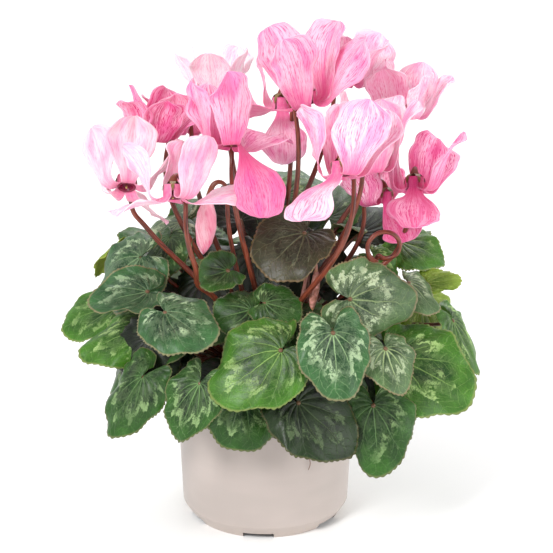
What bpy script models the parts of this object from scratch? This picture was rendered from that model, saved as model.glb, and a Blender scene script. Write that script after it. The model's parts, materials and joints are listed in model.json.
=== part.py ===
"""Potted cyclamen: a florist's cyclamen growing in a plain plastic nursery pot.

Everything is in one frame: metres, +Z up, the origin on the floor at the middle of the pot's base.
The plant is laid out in two tables, one row for each leaf and one for each flower. The stems between
them and the tuber are grown by a rule, which bends each stem aside until all of them have room.
"""
import itertools
import math

import bmesh
import bpy
import numpy as np

MM = 0.001                  # the tables and sizes below are in millimetres and degrees
GAP = 0.3                   # clearance between pieces that touch

# ---- pot, soil and tuber ----
POT_HEIGHT = 100.0
RIM_RADIUS = 60.0           # outside of the rolled lip
LIP_HEIGHT = 9.0
LIP_WIDTH = 1.6             # how far the lip stands out from the wall
WALL = 1.6
SHOULDER_RADIUS = 54.8      # where the tapered wall turns in to the foot
SHOULDER_HEIGHT = 9.0
FOOT_RADIUS = 49.0
FOOT_WIDTH = 6.0
FLOOR_LIFT = 4.0            # the raised floor between the foot ring and the middle pad
PAD_RADIUS = 28.0
NOTCHES = 6
NOTCH_WIDTH = 20.0
NOTCH_DEPTH = 16.0
NOTCH_HEIGHT = 3.6
NOTCH_CENTRE = 47.0         # distance of each notch from the pot's axis
POT_SIDES = 32

SOIL_TOP = 84.0
SOIL_EDGE = 80.0
TUBER_RADIUS = 27.0
TUBER_HALF_HEIGHT = 14.0
TUBER_CENTRE = 82.0
CROWN_SPACING = 2.8         # spread of the sunflower spiral that the stems stand on

# ---- plant tissue ----
BLADE_THICKNESS = 1.2
PETIOLE_RADIUS = 1.35
STALK_RADIUS = 1.7
PETAL_THICKNESS = 1.0
MOUTH_RADIUS = 5.5
TUBE_LENGTH = 7.0
PETAL_TURN = 12.0           # length of petal, from the mouth, over which it turns back
PETAL_TWIST = math.radians(28)
WIDEST = 0.62               # how far along it a petal is widest
CALYX_RADIUS = 3.6
# The bent top of a flower stalk and of a bud's stalk: distances out from the middle, and up.
STALK_HOOK = [(12.5, -9), (12.5, -1), (11.5, 6), (9.0, 11), (5.5, 13.5), (2.4, 13.2), (0.5, 11.2), (0, 8)]
# The top of a stalk that meets a leaning flower from behind: distances along its axis, and upright.
REAR_HOOK = [(21, -15), (20.5, -8), (19.5, -2.5), (17.5, 1), (15, 2), (12.5, 1.5), (10, 0.6), (8, 0)]
REAR_LEAN = 40.0            # a flower that leans more than this is met from behind
BUD_HOOK = [(-5, -14), (-5, -6), (-3, -1.5), (0.5, 0), (4, -2), (6, -7), (7, -11)]
BUD_SWELL = [(0.2, 0.75), (0.5, 1.0), (0.8, 0.55), (1.0, 0.15)]     # part of its length, of its radius
SINUS = math.radians(165)   # half the angle that the blade spans about its petiole
STALK_PULL = 0.30           # how long a stalk and a petiole hold the direction of their top end
PETIOLE_PULL = 0.2
STEM_MARGIN = 1.4           # room kept between two stems
BLADE_MARGIN = 2.4          # room kept between a stem and the middle of a blade or petal
NEARBY = 10.0               # blades and petals further away than this are left out
ROUNDS = 90                 # how many times the stems push one another aside
ROUTE_POINTS = 33           # places along each stem while the stems make room for one another
STALK_STEPS = [0, 5, 10, 15, 20, 25, 29]            # those of them kept in the finished stems
PETIOLE_STEPS = [0, 3, 6, 9, 13, 18, 23, 28, 32]

# Each leaf: x, y, z of the point where the petiole meets the blade; heading, droop and roll of the
# midrib; length from there to the tip; width factor; bend along the midrib; arch across it.
LEAVES = [
    (25, -30, 203, -137, 22, -28, 40, 1.05, 25, -25),
    (53, -60, 170, 8, 10, 80, 46, 1.00, 30, 35),
    (42, -84, 157, -78, 58, 0, 42, 0.95, 15, 10),
    (10, -85, 146, -158, 26, -40, 52, 0.95, 20, 25),
    (-61, -75, 167, -35, 14, 25, 37, 1.12, 20, 25),
    (-23, -44, 183, -148, 5, -45, 24, 1.00, -20, -40),
    (-9, -48, 158, -165, 8, -45, 25, 1.10, 10, 10),
    (0, -49, 163, -10, 8, 45, 25, 1.05, 10, 10),
    (-79, -9, 179, 178, 30, -35, 46, 1.10, 35, 30),
    (-74, -36, 166, -165, 5, -30, 38, 0.85, 10, -60),
    (-75, -22, 139, -165, 20, -28, 48, 0.85, 15, 25),
    (-76, -63, 119, -165, 52, -30, 44, 0.85, 15, 30),
    (-40, -83, 123, -145, 58, -30, 38, 0.85, 10, 15),
    (-13, -75, 112, -65, 62, 0, 37, 1.30, 10, 20),
    (21, -83, 110, -12, 38, 42, 48, 1.00, 10, 10),
    (68, -71, 103, -78, 68, 25, 45, 1.00, 10, 60),
    (86, -44, 123, -15, 22, 48, 53, 1.00, 10, 10),
    (75, -70, 141, -60, 48, 0, 30, 1.05, 10, 10),
    (92, -17, 165, -35, 30, 10, 27, 1.05, 25, 25),
    (122, -4, 134, -20, 55, 0, 38, 0.95, 15, 25),
    (88, 17, 181, -10, 8, 25, 33, 1.05, 30, 25),
    (-56, 38, 187, 170, 25, -20, 40, 1.10, 25, 20),
    (24, 48, 200, 110, -25, 10, 42, 1.00, 20, 10),
    (60, 66, 150, 50, 40, 0, 50, 1.05, 25, 20),
    (0, 84, 135, 90, 50, 0, 54, 1.05, 20, 20),
    (-58, 68, 145, 135, 42, 0, 52, 1.05, 25, 20),
    (-98, 22, 135, -178, 14, -20, 42, 1.00, 20, 25),
]

# Each flower: x, y, z of the mouth; lean of its axis and the side it leans to; side that its stalk
# comes up on; petal length and width; how far each petal turns back, 0 hanging and 180 upright.
FLOWERS = [
    (-95, -31, 235, 50, 90, 18, 52, 25, (85, 150, 160, 150, 155)),
    (-90, 19, 252, 10, 0, -30, 52, 23, (155, 165, 165, 162, 172)),
    (-45, 44, 245, 10, 90, -60, 48, 23, (172, 165, 170, 165, 172)),
    (-62, -76, 228, 28, 90, 38, 54, 25, (172, 165, 85, 152, 108)),
    (-30, 89, 262, 10, 120, -60, 56, 25, (162, 172, 165, 168, 165)),
    (-18, -56, 261, 28, 90, 90, 58, 26, (172, 158, 155, 22, 112)),
    (0, 44, 266, 10, 90, -60, 52, 24, (165, 170, 172, 165, 172)),
    (34, 11, 281, 8, 180, 228, 60, 26, (170, 145, 165, 172, 105)),
    (58, 60, 272, 8, 60, -140, 54, 24, (172, 165, 165, 172, 165)),
    (98, 44, 260, 10, 20, 110, 52, 24, (165, 170, 165, 162, 165)),
    (72, -26, 248, 8, 60, 108, 56, 26, (172, 170, 165, 172, 170)),
    (100, -4, 225, 28, 90, 80, 56, 26, (168, 165, 52, 120, 165)),
    (51, -87, 253, 28, 90, 55, 54, 25, (172, 160, 58, 152, 158)),
    (71, 25, 204, 10, 90, -175, 38, 21, (172, 65, 165, 170, 165)),
]

# Each bud: x, y, z of the top of its hook; side that the bud hangs on; bud length and radius.
BUDS = [
    (-28, -40, 240, 190, 36, 6.0),
]


# ---------------------------------------------------------------- layout of the plant
def unit(vector):
    return vector / np.linalg.norm(vector)


def compass(azimuth):
    """Level unit vector towards an azimuth in degrees."""
    a = math.radians(azimuth)
    return np.array([math.cos(a), math.sin(a), 0.0])


def leaf_frame(heading, droop, roll):
    """Directions along the midrib, to the blade's left side, and out of its upper face."""
    d, r = math.radians(droop), math.radians(roll)
    along = compass(heading) * math.cos(d) - np.array([0, 0, math.sin(d)])
    side = compass(heading + 90)
    up = np.cross(along, side)
    return along, side * math.cos(r) + up * math.sin(r), up * math.cos(r) - side * math.sin(r)


def leaf_outline(theta):
    """Distance from the petiole to the margin of a leaf of length one; theta is 0 at the tip."""
    t = np.abs(theta)
    body = 0.66 + 0.17 * np.cos(t) + 0.05 * np.cos(2 * t)
    tip = 0.12 * np.exp(-(t / math.radians(25)) ** 2)
    lobe = np.clip((t - math.radians(125)) / math.radians(42), 0, 1)
    return (body + tip) * np.sqrt(1 - lobe ** 4)


def bend_line(distance, turn):
    """Points at a distance along a line bent evenly by `turn` radians a unit, and its normals."""
    angle = distance * turn
    return np.sin(angle) / turn, (np.cos(angle) - 1) / turn, np.sin(angle), np.cos(angle)


def blade_points(leaf, theta, rho):
    """Places on a blade: theta about the petiole, rho from the petiole (0) to the margin (1)."""
    x, y, z, heading, droop, roll, length, width, bend, arch = leaf
    reach = rho * leaf_outline(theta)
    across, sag, _, _ = bend_line(reach * np.sin(theta) * width, math.radians(arch) / 0.65)
    line_x, line_z, normal_x, normal_z = bend_line(reach * np.cos(theta), math.radians(bend))
    local = np.stack([line_x + sag * normal_x, across, line_z + sag * normal_z], -1) * length
    return np.array([x, y, z]) + local @ np.array(leaf_frame(heading, droop, roll))


def flower_frame(flower):
    """Axis of a flower, from its mouth to its calyx, and two directions across it."""
    lean, lean_side, stalk_side = flower[3:6]
    tilt = math.radians(lean)
    axis = compass(lean_side) * math.sin(tilt) + np.array([0, 0, math.cos(tilt)])
    out = compass(stalk_side)
    out = unit(out - axis * out.dot(axis))
    return axis, out, np.cross(axis, out)


def petal_points(flower, petal, u, v):
    """Places on a petal: u runs from the tube's top (-1) over the mouth (0) to the tip (1), v across."""
    length, width = flower[6:8]
    axis, front, left = flower_frame(flower)
    azimuth = math.radians(36 + 72 * petal)

    steps = np.linspace(0, 1, 61)
    turned = np.clip(steps * length / PETAL_TURN, 0, 1) ** 0.8
    angle = np.radians(25 + (flower[8][petal] - 25) * turned)
    step = length / 60
    radius = MOUTH_RADIUS + np.concatenate([[0], np.cumsum(np.sin(angle[1:]) * step)])
    height = np.concatenate([[0], np.cumsum(-np.cos(angle[1:]) * step)])

    along = np.clip(u, 0, 1)
    r, h, a = (np.interp(along, steps, values)[..., None] for values in (radius, height, angle))
    widen = np.clip(along / WIDEST, 0, 1)
    half = width / 2 * (0.27 + 0.73 * widen * widen * (3 - 2 * widen))
    half = half * np.sqrt(1 - 0.98 * np.clip((along - WIDEST) / (1 - WIDEST), 0, 1) ** 2.8)
    twist = PETAL_TWIST * np.clip(along / 0.5, 0, 1)[..., None]

    out = math.cos(azimuth) * front + math.sin(azimuth) * left
    side = -math.sin(azimuth) * front + math.cos(azimuth) * left
    normal = np.cos(a) * out + np.sin(a) * axis
    across = np.cos(twist) * side + np.sin(twist) * normal
    blade = r * out + h * axis + (v * half)[..., None] * across

    turn = (azimuth + v * math.radians(36))[..., None]
    tube = (MOUTH_RADIUS + 0.6) * (np.cos(turn) * front + np.sin(turn) * left)
    tube = tube + np.clip(-u, 0, 1)[..., None] * TUBE_LENGTH * axis
    return np.array(flower[:3]) + np.where((u <= 0)[..., None], tube, blade)


# ---------------------------------------------------------------- stems
def crown_height(radius):
    """Height of the tuber's top at a distance from the pot's axis."""
    return TUBER_CENTRE + TUBER_HALF_HEIGHT * np.sqrt(1 - (radius / TUBER_RADIUS) ** 2)


def crown_places(ends):
    """Starting places on the crown, a sunflower spiral, shared out so that the stems do not cross."""
    index = np.arange(len(ends))
    radius = CROWN_SPACING * np.sqrt(index + 0.5)
    turn = index * math.radians(137.5)
    places = np.stack([radius * np.cos(turn), radius * np.sin(turn), crown_height(radius) + GAP], axis=1)
    level = np.array([end[:2] for end in ends])
    reach = np.linalg.norm(places[:, None, :2] - level[None], axis=2)
    taken = list(index)
    inner = len(FLOWERS) + len(BUDS)
    groups = [range(inner), range(inner, len(ends))]
    for _ in range(12):
        for group in groups:
            for a, b in itertools.combinations(group, 2):
                if reach[taken[a], b] + reach[taken[b], a] < reach[taken[a], a] + reach[taken[b], b]:
                    taken[a], taken[b] = taken[b], taken[a]
    return places[taken]


def bezier(start, start_pull, end_pull, end, count):
    t = np.linspace(0, 1, count)[:, None]
    early = (1 - t) ** 3 * start + 3 * t * (1 - t) ** 2 * start_pull
    return early + 3 * t * t * (1 - t) * end_pull + t ** 3 * end


def hook(flower):
    """The bent top of a flower stalk: up past the mouth between two petals, and over to the calyx."""
    axis, out, _ = flower_frame(flower)
    mouth = np.array(flower[:3])
    if flower[3] > REAR_LEAN:
        return np.array([mouth + h * axis + [0, 0, up] for h, up in REAR_HOOK])
    return np.array([mouth + r * out + h * axis for r, h in STALK_HOOK])


def bud_hook(bud):
    """The bent top of a bud's stalk and the line down the middle of the hanging bud."""
    x, y, z, side, length, _ = bud
    out = compass(side)
    end_out, end_up = BUD_HOOK[-1]
    places = BUD_HOOK + [(end_out + 0.1 * length * t, end_up - length * t) for t, _ in BUD_SWELL]
    return np.array([np.array([x, y, z + h]) + r * out for r, h in places])


def gaps_between(points, others):
    """Distance from every point to every other, by the cosine rule."""
    squared = (points ** 2).sum(1)[:, None] + (others ** 2).sum(1)[None] - 2 * points @ others.T
    return np.sqrt(np.maximum(squared, 1e-4))


def make_room(routes, radii, obstacles):
    """Push each stem away from the other stems and from the blades and petals, and keep it smooth."""
    count = routes.shape[1]
    routes, obstacles = routes.astype(np.float32), obstacles.astype(np.float32)
    owner = np.repeat(np.arange(len(routes)), count)
    reach = np.repeat(radii, count)
    near = reach[:, None] + reach[None, :] + STEM_MARGIN
    near[owner[:, None] == owner[None, :]] = 0
    for turn in range(ROUNDS):
        points = routes.reshape(-1, 3)
        if turn % 10 == 0:
            close = obstacles[gaps_between(points, obstacles).min(0) < NEARBY]
        push = np.zeros_like(points)
        for others, limit in ((points, near), (close, reach[:, None] + BLADE_MARGIN)):
            gap = gaps_between(points, others)
            share = np.clip(limit - gap, 0, None) / gap * 0.5
            push += points * share.sum(1)[:, None] - share @ others
        push = push.reshape(routes.shape)
        push[:, :2] = 0
        push[:, -2:] = 0
        for _ in range(6):
            push[:, 1:-1] = (push[:, :-2] + 2 * push[:, 1:-1] + push[:, 2:]) / 4
        routes = routes + 1.5 * push
    return routes


def grow_stems():
    """Routes of all stems: flower stalks, bud stalks, then petioles."""
    hooks = [hook(flower) for flower in FLOWERS] + [bud_hook(bud) for bud in BUDS]
    ends = [top[0] for top in hooks]
    pulls = [STALK_PULL * unit(top[1] - top[0]) for top in hooks]
    for leaf in LEAVES:
        along, _, up = leaf_frame(*leaf[3:6])
        ends.append(np.array(leaf[:3], float) - 0.2 * up)
        pulls.append(PETIOLE_PULL * unit(0.4 * along + 0.7 * up + [0, 0, 0.5]))
    routes = []
    for place, end, pull in zip(crown_places(ends), ends, pulls):
        span = np.linalg.norm(end - place)
        rise = np.array([place[0] / 40, place[1] / 40, 1.0])
        routes.append(bezier(place, place + 0.4 * span * rise, end - span * pull, end, ROUTE_POINTS))
    radii = np.array([STALK_RADIUS] * len(hooks) + [PETIOLE_RADIUS] * len(LEAVES))

    theta, rho = np.meshgrid(np.linspace(-SINUS, SINUS, 25), np.linspace(0.25, 1, 6), indexing="ij")
    u, v = np.meshgrid(np.linspace(0, 1, 12), np.linspace(-1, 1, 5), indexing="ij")
    rim_top = np.array([0, 0, POT_HEIGHT - 1])
    rim = [compass(azimuth) * (RIM_RADIUS - 1) + rim_top for azimuth in range(0, 360, 4)]
    obstacles = [blade_points(leaf, theta, rho).reshape(-1, 3) for leaf in LEAVES]
    obstacles += [petal_points(f, k, u, v).reshape(-1, 3) for f in FLOWERS for k in range(5)]
    routes = make_room(np.array(routes), radii, np.concatenate(obstacles + [np.array(rim)]))
    stalks = [np.concatenate([route[:-1], top]) for route, top in zip(routes, hooks)]
    return stalks[:len(FLOWERS)], stalks[len(FLOWERS):], list(routes[len(hooks):])


# ---------------------------------------------------------------- building blocks
def clear_scene():
    for existing in list(bpy.data.objects):
        bpy.data.objects.remove(existing, do_unlink=True)


def make_collection(name):
    collection = bpy.data.collections.new(name)
    bpy.context.scene.collection.children.link(collection)
    return collection


def material(name, colour, roughness):
    made = bpy.data.materials.new(name)
    made.use_nodes = True
    surface = made.node_tree.nodes["Principled BSDF"]
    surface.inputs["Base Color"].default_value = (*colour, 1.0)
    surface.inputs["Roughness"].default_value = roughness
    surface.inputs["Metallic"].default_value = 0.0
    return made


def object_from_bmesh(name, bm, collection):
    mesh = bpy.data.meshes.new(name)
    bm.to_mesh(mesh)
    bm.free()
    made = bpy.data.objects.new(name, mesh)
    collection.objects.link(made)
    return made


def finish(piece, finish_material):
    piece.data.materials.clear()
    piece.data.materials.append(finish_material)
    piece.data.shade_smooth()
    piece.data.set_sharp_from_angle(angle=math.radians(40))


def turned(name, profile, sides, collection):
    """A solid of revolution: a profile that runs from the axis down its outer side, back to the axis."""
    bm = bmesh.new()
    points = [bm.verts.new((radius * MM, 0, height * MM)) for radius, height in profile]
    for first, second in zip(points, points[1:]):
        bm.edges.new((first, second))
    made = object_from_bmesh(name, bm, collection)
    screw = made.modifiers.new("Screw", "SCREW")
    screw.steps = screw.render_steps = sides
    screw.use_merge_vertices = True
    screw.merge_threshold = 0.00001
    return made


def tube(name, points, radii, collection):
    """A round stem through points, with a radius at each, made into a closed mesh."""
    curve = bpy.data.curves.new(name, "CURVE")
    curve.dimensions = "3D"
    curve.bevel_depth = MM
    curve.bevel_resolution = 1
    curve.use_fill_caps = True
    line = curve.splines.new("POLY")
    line.points.add(len(points) - 1)
    for place, point, radius in zip(line.points, points, radii):
        place.co = (*(point * MM), 1)
        place.radius = radius
    guide = bpy.data.objects.new(name + "_guide", curve)
    collection.objects.link(guide)
    shape = guide.evaluated_get(bpy.context.evaluated_depsgraph_get())
    mesh = bpy.data.meshes.new_from_object(shape)
    bpy.data.objects.remove(guide, do_unlink=True)
    bm = bmesh.new()
    bm.from_mesh(mesh)
    bmesh.ops.remove_doubles(bm, verts=bm.verts, dist=0.00001)
    bpy.data.meshes.remove(mesh)
    return object_from_bmesh(name, bm, collection)


def sheet(name, surfaces, thickness, collection):
    """One sheet of tissue with thickness. Each surface is a grid of points, joined where grids meet."""
    bm = bmesh.new()
    for grid in surfaces:
        rows, columns = grid.shape[:2]
        made = bmesh.ops.create_grid(bm, x_segments=columns - 1, y_segments=rows - 1, size=1)
        for vertex in made["verts"]:
            column = round((vertex.co.x + 1) / 2 * (columns - 1))
            row = round((vertex.co.y + 1) / 2 * (rows - 1))
            vertex.co = grid[row, column] * MM
    bmesh.ops.remove_doubles(bm, verts=bm.verts, dist=0.00002)
    piece = object_from_bmesh(name, bm, collection)
    solid = piece.modifiers.new("Thickness", "SOLIDIFY")
    solid.thickness = thickness * MM
    solid.offset = 0
    return piece


def join(piece, other):
    """Unite two closed solids into one body."""
    union = piece.modifiers.new("Join", "BOOLEAN")
    union.operation = "UNION"
    union.object = other
    shape = piece.evaluated_get(bpy.context.evaluated_depsgraph_get())
    mesh = bpy.data.meshes.new_from_object(shape)
    piece.modifiers.clear()
    piece.data = mesh
    bpy.data.objects.remove(other, do_unlink=True)


# ---------------------------------------------------------------- pot, soil, tuber
def build_pot(parts, cutters, plastic):
    taper = (RIM_RADIUS - LIP_WIDTH - SHOULDER_RADIUS) / (POT_HEIGHT - LIP_HEIGHT - SHOULDER_HEIGHT)
    wall_top = SHOULDER_RADIUS + taper * (POT_HEIGHT - SHOULDER_HEIGHT)
    foot_inside = FOOT_RADIUS - FOOT_WIDTH
    profile = [
        (0, WALL), (PAD_RADIUS - 1, WALL), (PAD_RADIUS + 1, FLOOR_LIFT + WALL),
        (foot_inside + 1, FLOOR_LIFT + WALL), (foot_inside + 2, WALL), (FOOT_RADIUS - 2, WALL),
        (SHOULDER_RADIUS - WALL, SHOULDER_HEIGHT), (wall_top - WALL, POT_HEIGHT),
        (RIM_RADIUS - 0.5, POT_HEIGHT), (RIM_RADIUS, POT_HEIGHT - 0.7),
        (RIM_RADIUS, POT_HEIGHT - LIP_HEIGHT), (RIM_RADIUS - LIP_WIDTH, POT_HEIGHT - LIP_HEIGHT),
        (SHOULDER_RADIUS, SHOULDER_HEIGHT), (FOOT_RADIUS, 0), (foot_inside, 0),
        (foot_inside - 1, FLOOR_LIFT), (PAD_RADIUS + 2, FLOOR_LIFT), (PAD_RADIUS, 0), (0, 0),
    ]
    pot = turned("pot", profile, POT_SIDES, parts)
    for number in range(NOTCHES):
        azimuth = math.radians(-95 + 360 / NOTCHES * number)
        bpy.ops.mesh.primitive_cube_add(size=1)
        cutter = bpy.context.object
        cutter.name = f"notch_cutter_{number + 1}"
        cutter.scale = (NOTCH_DEPTH * MM, NOTCH_WIDTH * MM, 2 * NOTCH_HEIGHT * MM)
        cutter.location = NOTCH_CENTRE * MM * compass(math.degrees(azimuth))
        cutter.rotation_euler = (0, 0, azimuth)
        for owner in list(cutter.users_collection):
            owner.objects.unlink(cutter)
        cutters.objects.link(cutter)
        cutter.hide_render = True
        cutter.display_type = "WIRE"
        cut = pot.modifiers.new(f"Notch {number + 1}", "BOOLEAN")
        cut.operation = "DIFFERENCE"
        cut.object = cutter
    finish(pot, plastic)


def build_soil(parts, peat):
    """Fills the pot above its raised floor, with a round hollow that the tuber sits in."""
    depth, radius = TUBER_HALF_HEIGHT + 2 * GAP, TUBER_RADIUS + 3 * GAP
    cup = [(0, TUBER_CENTRE - depth)]
    for angle in (-65, -40, -18):
        a = math.radians(angle)
        cup.append((radius * math.cos(a), TUBER_CENTRE + depth * math.sin(a)))
    taper = (RIM_RADIUS - LIP_WIDTH - SHOULDER_RADIUS) / (POT_HEIGHT - LIP_HEIGHT - SHOULDER_HEIGHT)
    wall_inside = SHOULDER_RADIUS - WALL - GAP
    edge = wall_inside + taper * (SOIL_EDGE - SHOULDER_HEIGHT)
    floor = FLOOR_LIFT + WALL + GAP
    profile = cup + [
        (TUBER_RADIUS + 3, SOIL_TOP - 1.5), (TUBER_RADIUS + 12, SOIL_TOP), (edge - 6, SOIL_EDGE + 2),
        (edge, SOIL_EDGE), (wall_inside, SHOULDER_HEIGHT + 0.5), (FOOT_RADIUS - 1, floor), (0, floor),
    ]
    soil = turned("potting_soil", profile, POT_SIDES, parts)
    finish(soil, peat)


def build_tuber(parts, cork):
    bm = bmesh.new()
    bmesh.ops.create_uvsphere(bm, u_segments=16, v_segments=8, radius=1)
    for vertex in bm.verts:
        vertex.co.x *= TUBER_RADIUS * MM
        vertex.co.y *= TUBER_RADIUS * MM
        vertex.co.z = (TUBER_CENTRE + vertex.co.z * TUBER_HALF_HEIGHT) * MM
    tuber = object_from_bmesh("tuber", bm, parts)
    finish(tuber, cork)


# ---------------------------------------------------------------- leaves
def build_leaf(name, leaf, route, parts, blade_green):
    theta, rho = np.meshgrid(np.linspace(-SINUS, SINUS, 13), np.array([0, 0.55, 1]), indexing="ij")
    blade = sheet(name, [blade_points(leaf, theta, rho)], BLADE_THICKNESS, parts)
    points = route[PETIOLE_STEPS]
    petiole = tube(name + "_petiole", points, [PETIOLE_RADIUS] * len(points), parts)
    join(blade, petiole)
    finish(blade, blade_green)


# ---------------------------------------------------------------- flowers and buds
def build_corolla(name, flower, parts, petal_pink):
    rows = np.array([-1, 0, 0.2, 0.45, 0.72, 1])
    u, v = np.meshgrid(rows, np.array([-1, 0, 1]), indexing="ij")
    petals = [petal_points(flower, petal, u, v) for petal in range(5)]
    corolla = sheet(name, petals, PETAL_THICKNESS, parts)
    finish(corolla, petal_pink)


def build_stalk(name, route, parts, red_brown):
    top = len(route) - ROUTE_POINTS + 1
    points = np.concatenate([route[STALK_STEPS], route[-top:]])
    radii = [STALK_RADIUS] * (len(points) - 2) + [STALK_RADIUS + 0.5, CALYX_RADIUS]
    stalk = tube(name, points, radii, parts)
    finish(stalk, red_brown)


def build_bud(name, bud, route, parts, bud_pink):
    top = len(route) - ROUTE_POINTS + 1
    points = np.concatenate([route[STALK_STEPS], route[-top:]])
    radii = [STALK_RADIUS] * (len(points) - 5) + [3.0] + [bud[5] * part for _, part in BUD_SWELL]
    piece = tube(name, points, radii, parts)
    finish(piece, bud_pink)


def main():
    clear_scene()
    parts = make_collection("potted_cyclamen")
    cutters = make_collection("cutters")
    build_pot(parts, cutters, material("pot_plastic", (0.72, 0.67, 0.64), 0.45))
    build_soil(parts, material("soil_peat", (0.035, 0.022, 0.015), 0.95))
    build_tuber(parts, material("tuber_skin", (0.13, 0.075, 0.045), 0.8))

    stalks, bud_stalks, petioles = grow_stems()
    for number, (leaf, route) in enumerate(zip(LEAVES, petioles), 1):
        green = material(f"leaf_{number:02d}", (0.06, 0.17, 0.06), 0.5)
        build_leaf(f"leaf_{number:02d}", leaf, route, parts, green)
    for number, (flower, route) in enumerate(zip(FLOWERS, stalks), 1):
        red_brown = material(f"flower_stalk_{number:02d}", (0.20, 0.05, 0.03), 0.4)
        build_stalk(f"flower_stalk_{number:02d}", route, parts, red_brown)
        pink = material(f"corolla_{number:02d}", (0.85, 0.32, 0.48), 0.5)
        build_corolla(f"corolla_{number:02d}", flower, parts, pink)
    for number, (bud, route) in enumerate(zip(BUDS, bud_stalks), 1):
        pink = material(f"bud_{number:02d}", (0.80, 0.28, 0.42), 0.5)
        build_bud(f"bud_{number:02d}", bud, route, parts, pink)


main()
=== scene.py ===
# %% [markdown]
# # A potted cyclamen
# A florist's cyclamen is a tuber in a plain plastic pot. From the tuber's crown rise two kinds of
# stem: petioles, each with one marbled, heart-shaped leaf, and flower stalks, each bent over at the
# top so that the flower hangs face down while its five petals turn back and stand up like a shuttlecock.
# This lesson dresses a packed, measured model of the plant. The frame is loaded first, and every piece
# made here takes its place from tables of leaves and flowers, as the measured ones did.
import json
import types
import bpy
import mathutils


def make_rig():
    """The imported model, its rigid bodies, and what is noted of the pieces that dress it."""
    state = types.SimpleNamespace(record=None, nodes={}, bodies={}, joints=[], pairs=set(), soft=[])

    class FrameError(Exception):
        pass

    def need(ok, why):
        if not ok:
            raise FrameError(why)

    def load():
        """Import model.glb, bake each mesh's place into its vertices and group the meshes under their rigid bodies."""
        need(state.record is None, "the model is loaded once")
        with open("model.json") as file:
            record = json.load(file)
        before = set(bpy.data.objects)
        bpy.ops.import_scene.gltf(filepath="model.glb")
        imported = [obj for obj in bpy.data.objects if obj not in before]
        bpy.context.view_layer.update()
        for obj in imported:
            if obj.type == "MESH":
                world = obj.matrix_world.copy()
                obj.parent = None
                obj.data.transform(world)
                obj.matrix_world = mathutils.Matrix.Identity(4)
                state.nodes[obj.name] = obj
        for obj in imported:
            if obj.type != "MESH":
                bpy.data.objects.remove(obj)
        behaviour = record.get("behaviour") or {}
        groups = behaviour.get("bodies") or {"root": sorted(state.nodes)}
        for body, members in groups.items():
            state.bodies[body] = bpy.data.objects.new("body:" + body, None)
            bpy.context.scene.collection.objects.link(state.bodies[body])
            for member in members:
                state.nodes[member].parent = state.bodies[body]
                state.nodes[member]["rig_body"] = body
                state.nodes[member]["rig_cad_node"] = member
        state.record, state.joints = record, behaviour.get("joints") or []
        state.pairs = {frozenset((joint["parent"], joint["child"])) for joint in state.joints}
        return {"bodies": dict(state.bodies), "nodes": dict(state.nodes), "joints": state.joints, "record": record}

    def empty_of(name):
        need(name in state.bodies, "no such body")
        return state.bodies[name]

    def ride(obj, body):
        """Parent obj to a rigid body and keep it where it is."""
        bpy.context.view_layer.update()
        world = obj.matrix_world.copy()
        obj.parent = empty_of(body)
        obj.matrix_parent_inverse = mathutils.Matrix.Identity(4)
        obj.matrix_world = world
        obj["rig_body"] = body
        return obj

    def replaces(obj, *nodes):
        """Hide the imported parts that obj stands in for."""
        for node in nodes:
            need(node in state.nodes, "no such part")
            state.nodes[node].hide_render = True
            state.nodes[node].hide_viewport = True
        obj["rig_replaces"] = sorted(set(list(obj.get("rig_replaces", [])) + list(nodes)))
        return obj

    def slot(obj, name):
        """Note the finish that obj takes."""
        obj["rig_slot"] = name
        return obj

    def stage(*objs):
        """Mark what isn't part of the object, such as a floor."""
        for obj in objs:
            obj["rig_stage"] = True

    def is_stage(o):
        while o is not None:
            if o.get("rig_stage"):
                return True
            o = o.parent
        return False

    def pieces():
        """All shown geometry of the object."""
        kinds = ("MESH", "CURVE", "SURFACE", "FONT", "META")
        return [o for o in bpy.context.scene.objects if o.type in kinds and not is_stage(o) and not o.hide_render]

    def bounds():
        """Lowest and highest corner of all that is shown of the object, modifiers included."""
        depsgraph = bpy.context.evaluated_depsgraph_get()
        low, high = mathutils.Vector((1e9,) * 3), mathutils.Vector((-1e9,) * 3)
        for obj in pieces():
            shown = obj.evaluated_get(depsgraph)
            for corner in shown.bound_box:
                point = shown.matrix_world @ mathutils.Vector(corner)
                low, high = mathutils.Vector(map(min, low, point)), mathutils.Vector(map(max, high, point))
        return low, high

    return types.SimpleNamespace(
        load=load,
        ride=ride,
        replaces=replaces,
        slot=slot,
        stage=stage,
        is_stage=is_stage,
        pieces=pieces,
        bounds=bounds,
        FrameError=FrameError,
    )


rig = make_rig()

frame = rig.load()
cad_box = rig.bounds()
print("frame:", len(frame["nodes"]), "nodes, box", [[round(x, 4) for x in corner] for corner in cad_box])

# %% Tools and units
import itertools
import json
import math

import bpy
import numpy as np
from mathutils import Vector

MM = 0.001                  # tables are in millimetres and degrees; meshes are in metres
FULL_TURN = 2 * math.pi
print("one millimetre is", MM, "scene units")

# %% [markdown]
# ## The plan of the plant
# A plant is easiest to build from a plan. Each leaf is one row: where its petiole meets the blade,
# which way the midrib points, how far it droops and rolls, and how big the blade is. Each flower is one
# row too: its mouth, the lean of its axis, and how far each petal turns back. The leaves stand where the
# measured model has them. Its flowers are stiff and spare, so the rows here make them a little shorter,
# wider and more open, and bring their heads nearer to one another.

# %% Rows of leaves, flowers and buds
GAP = 0.3                   # clearance between pieces that touch

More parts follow.
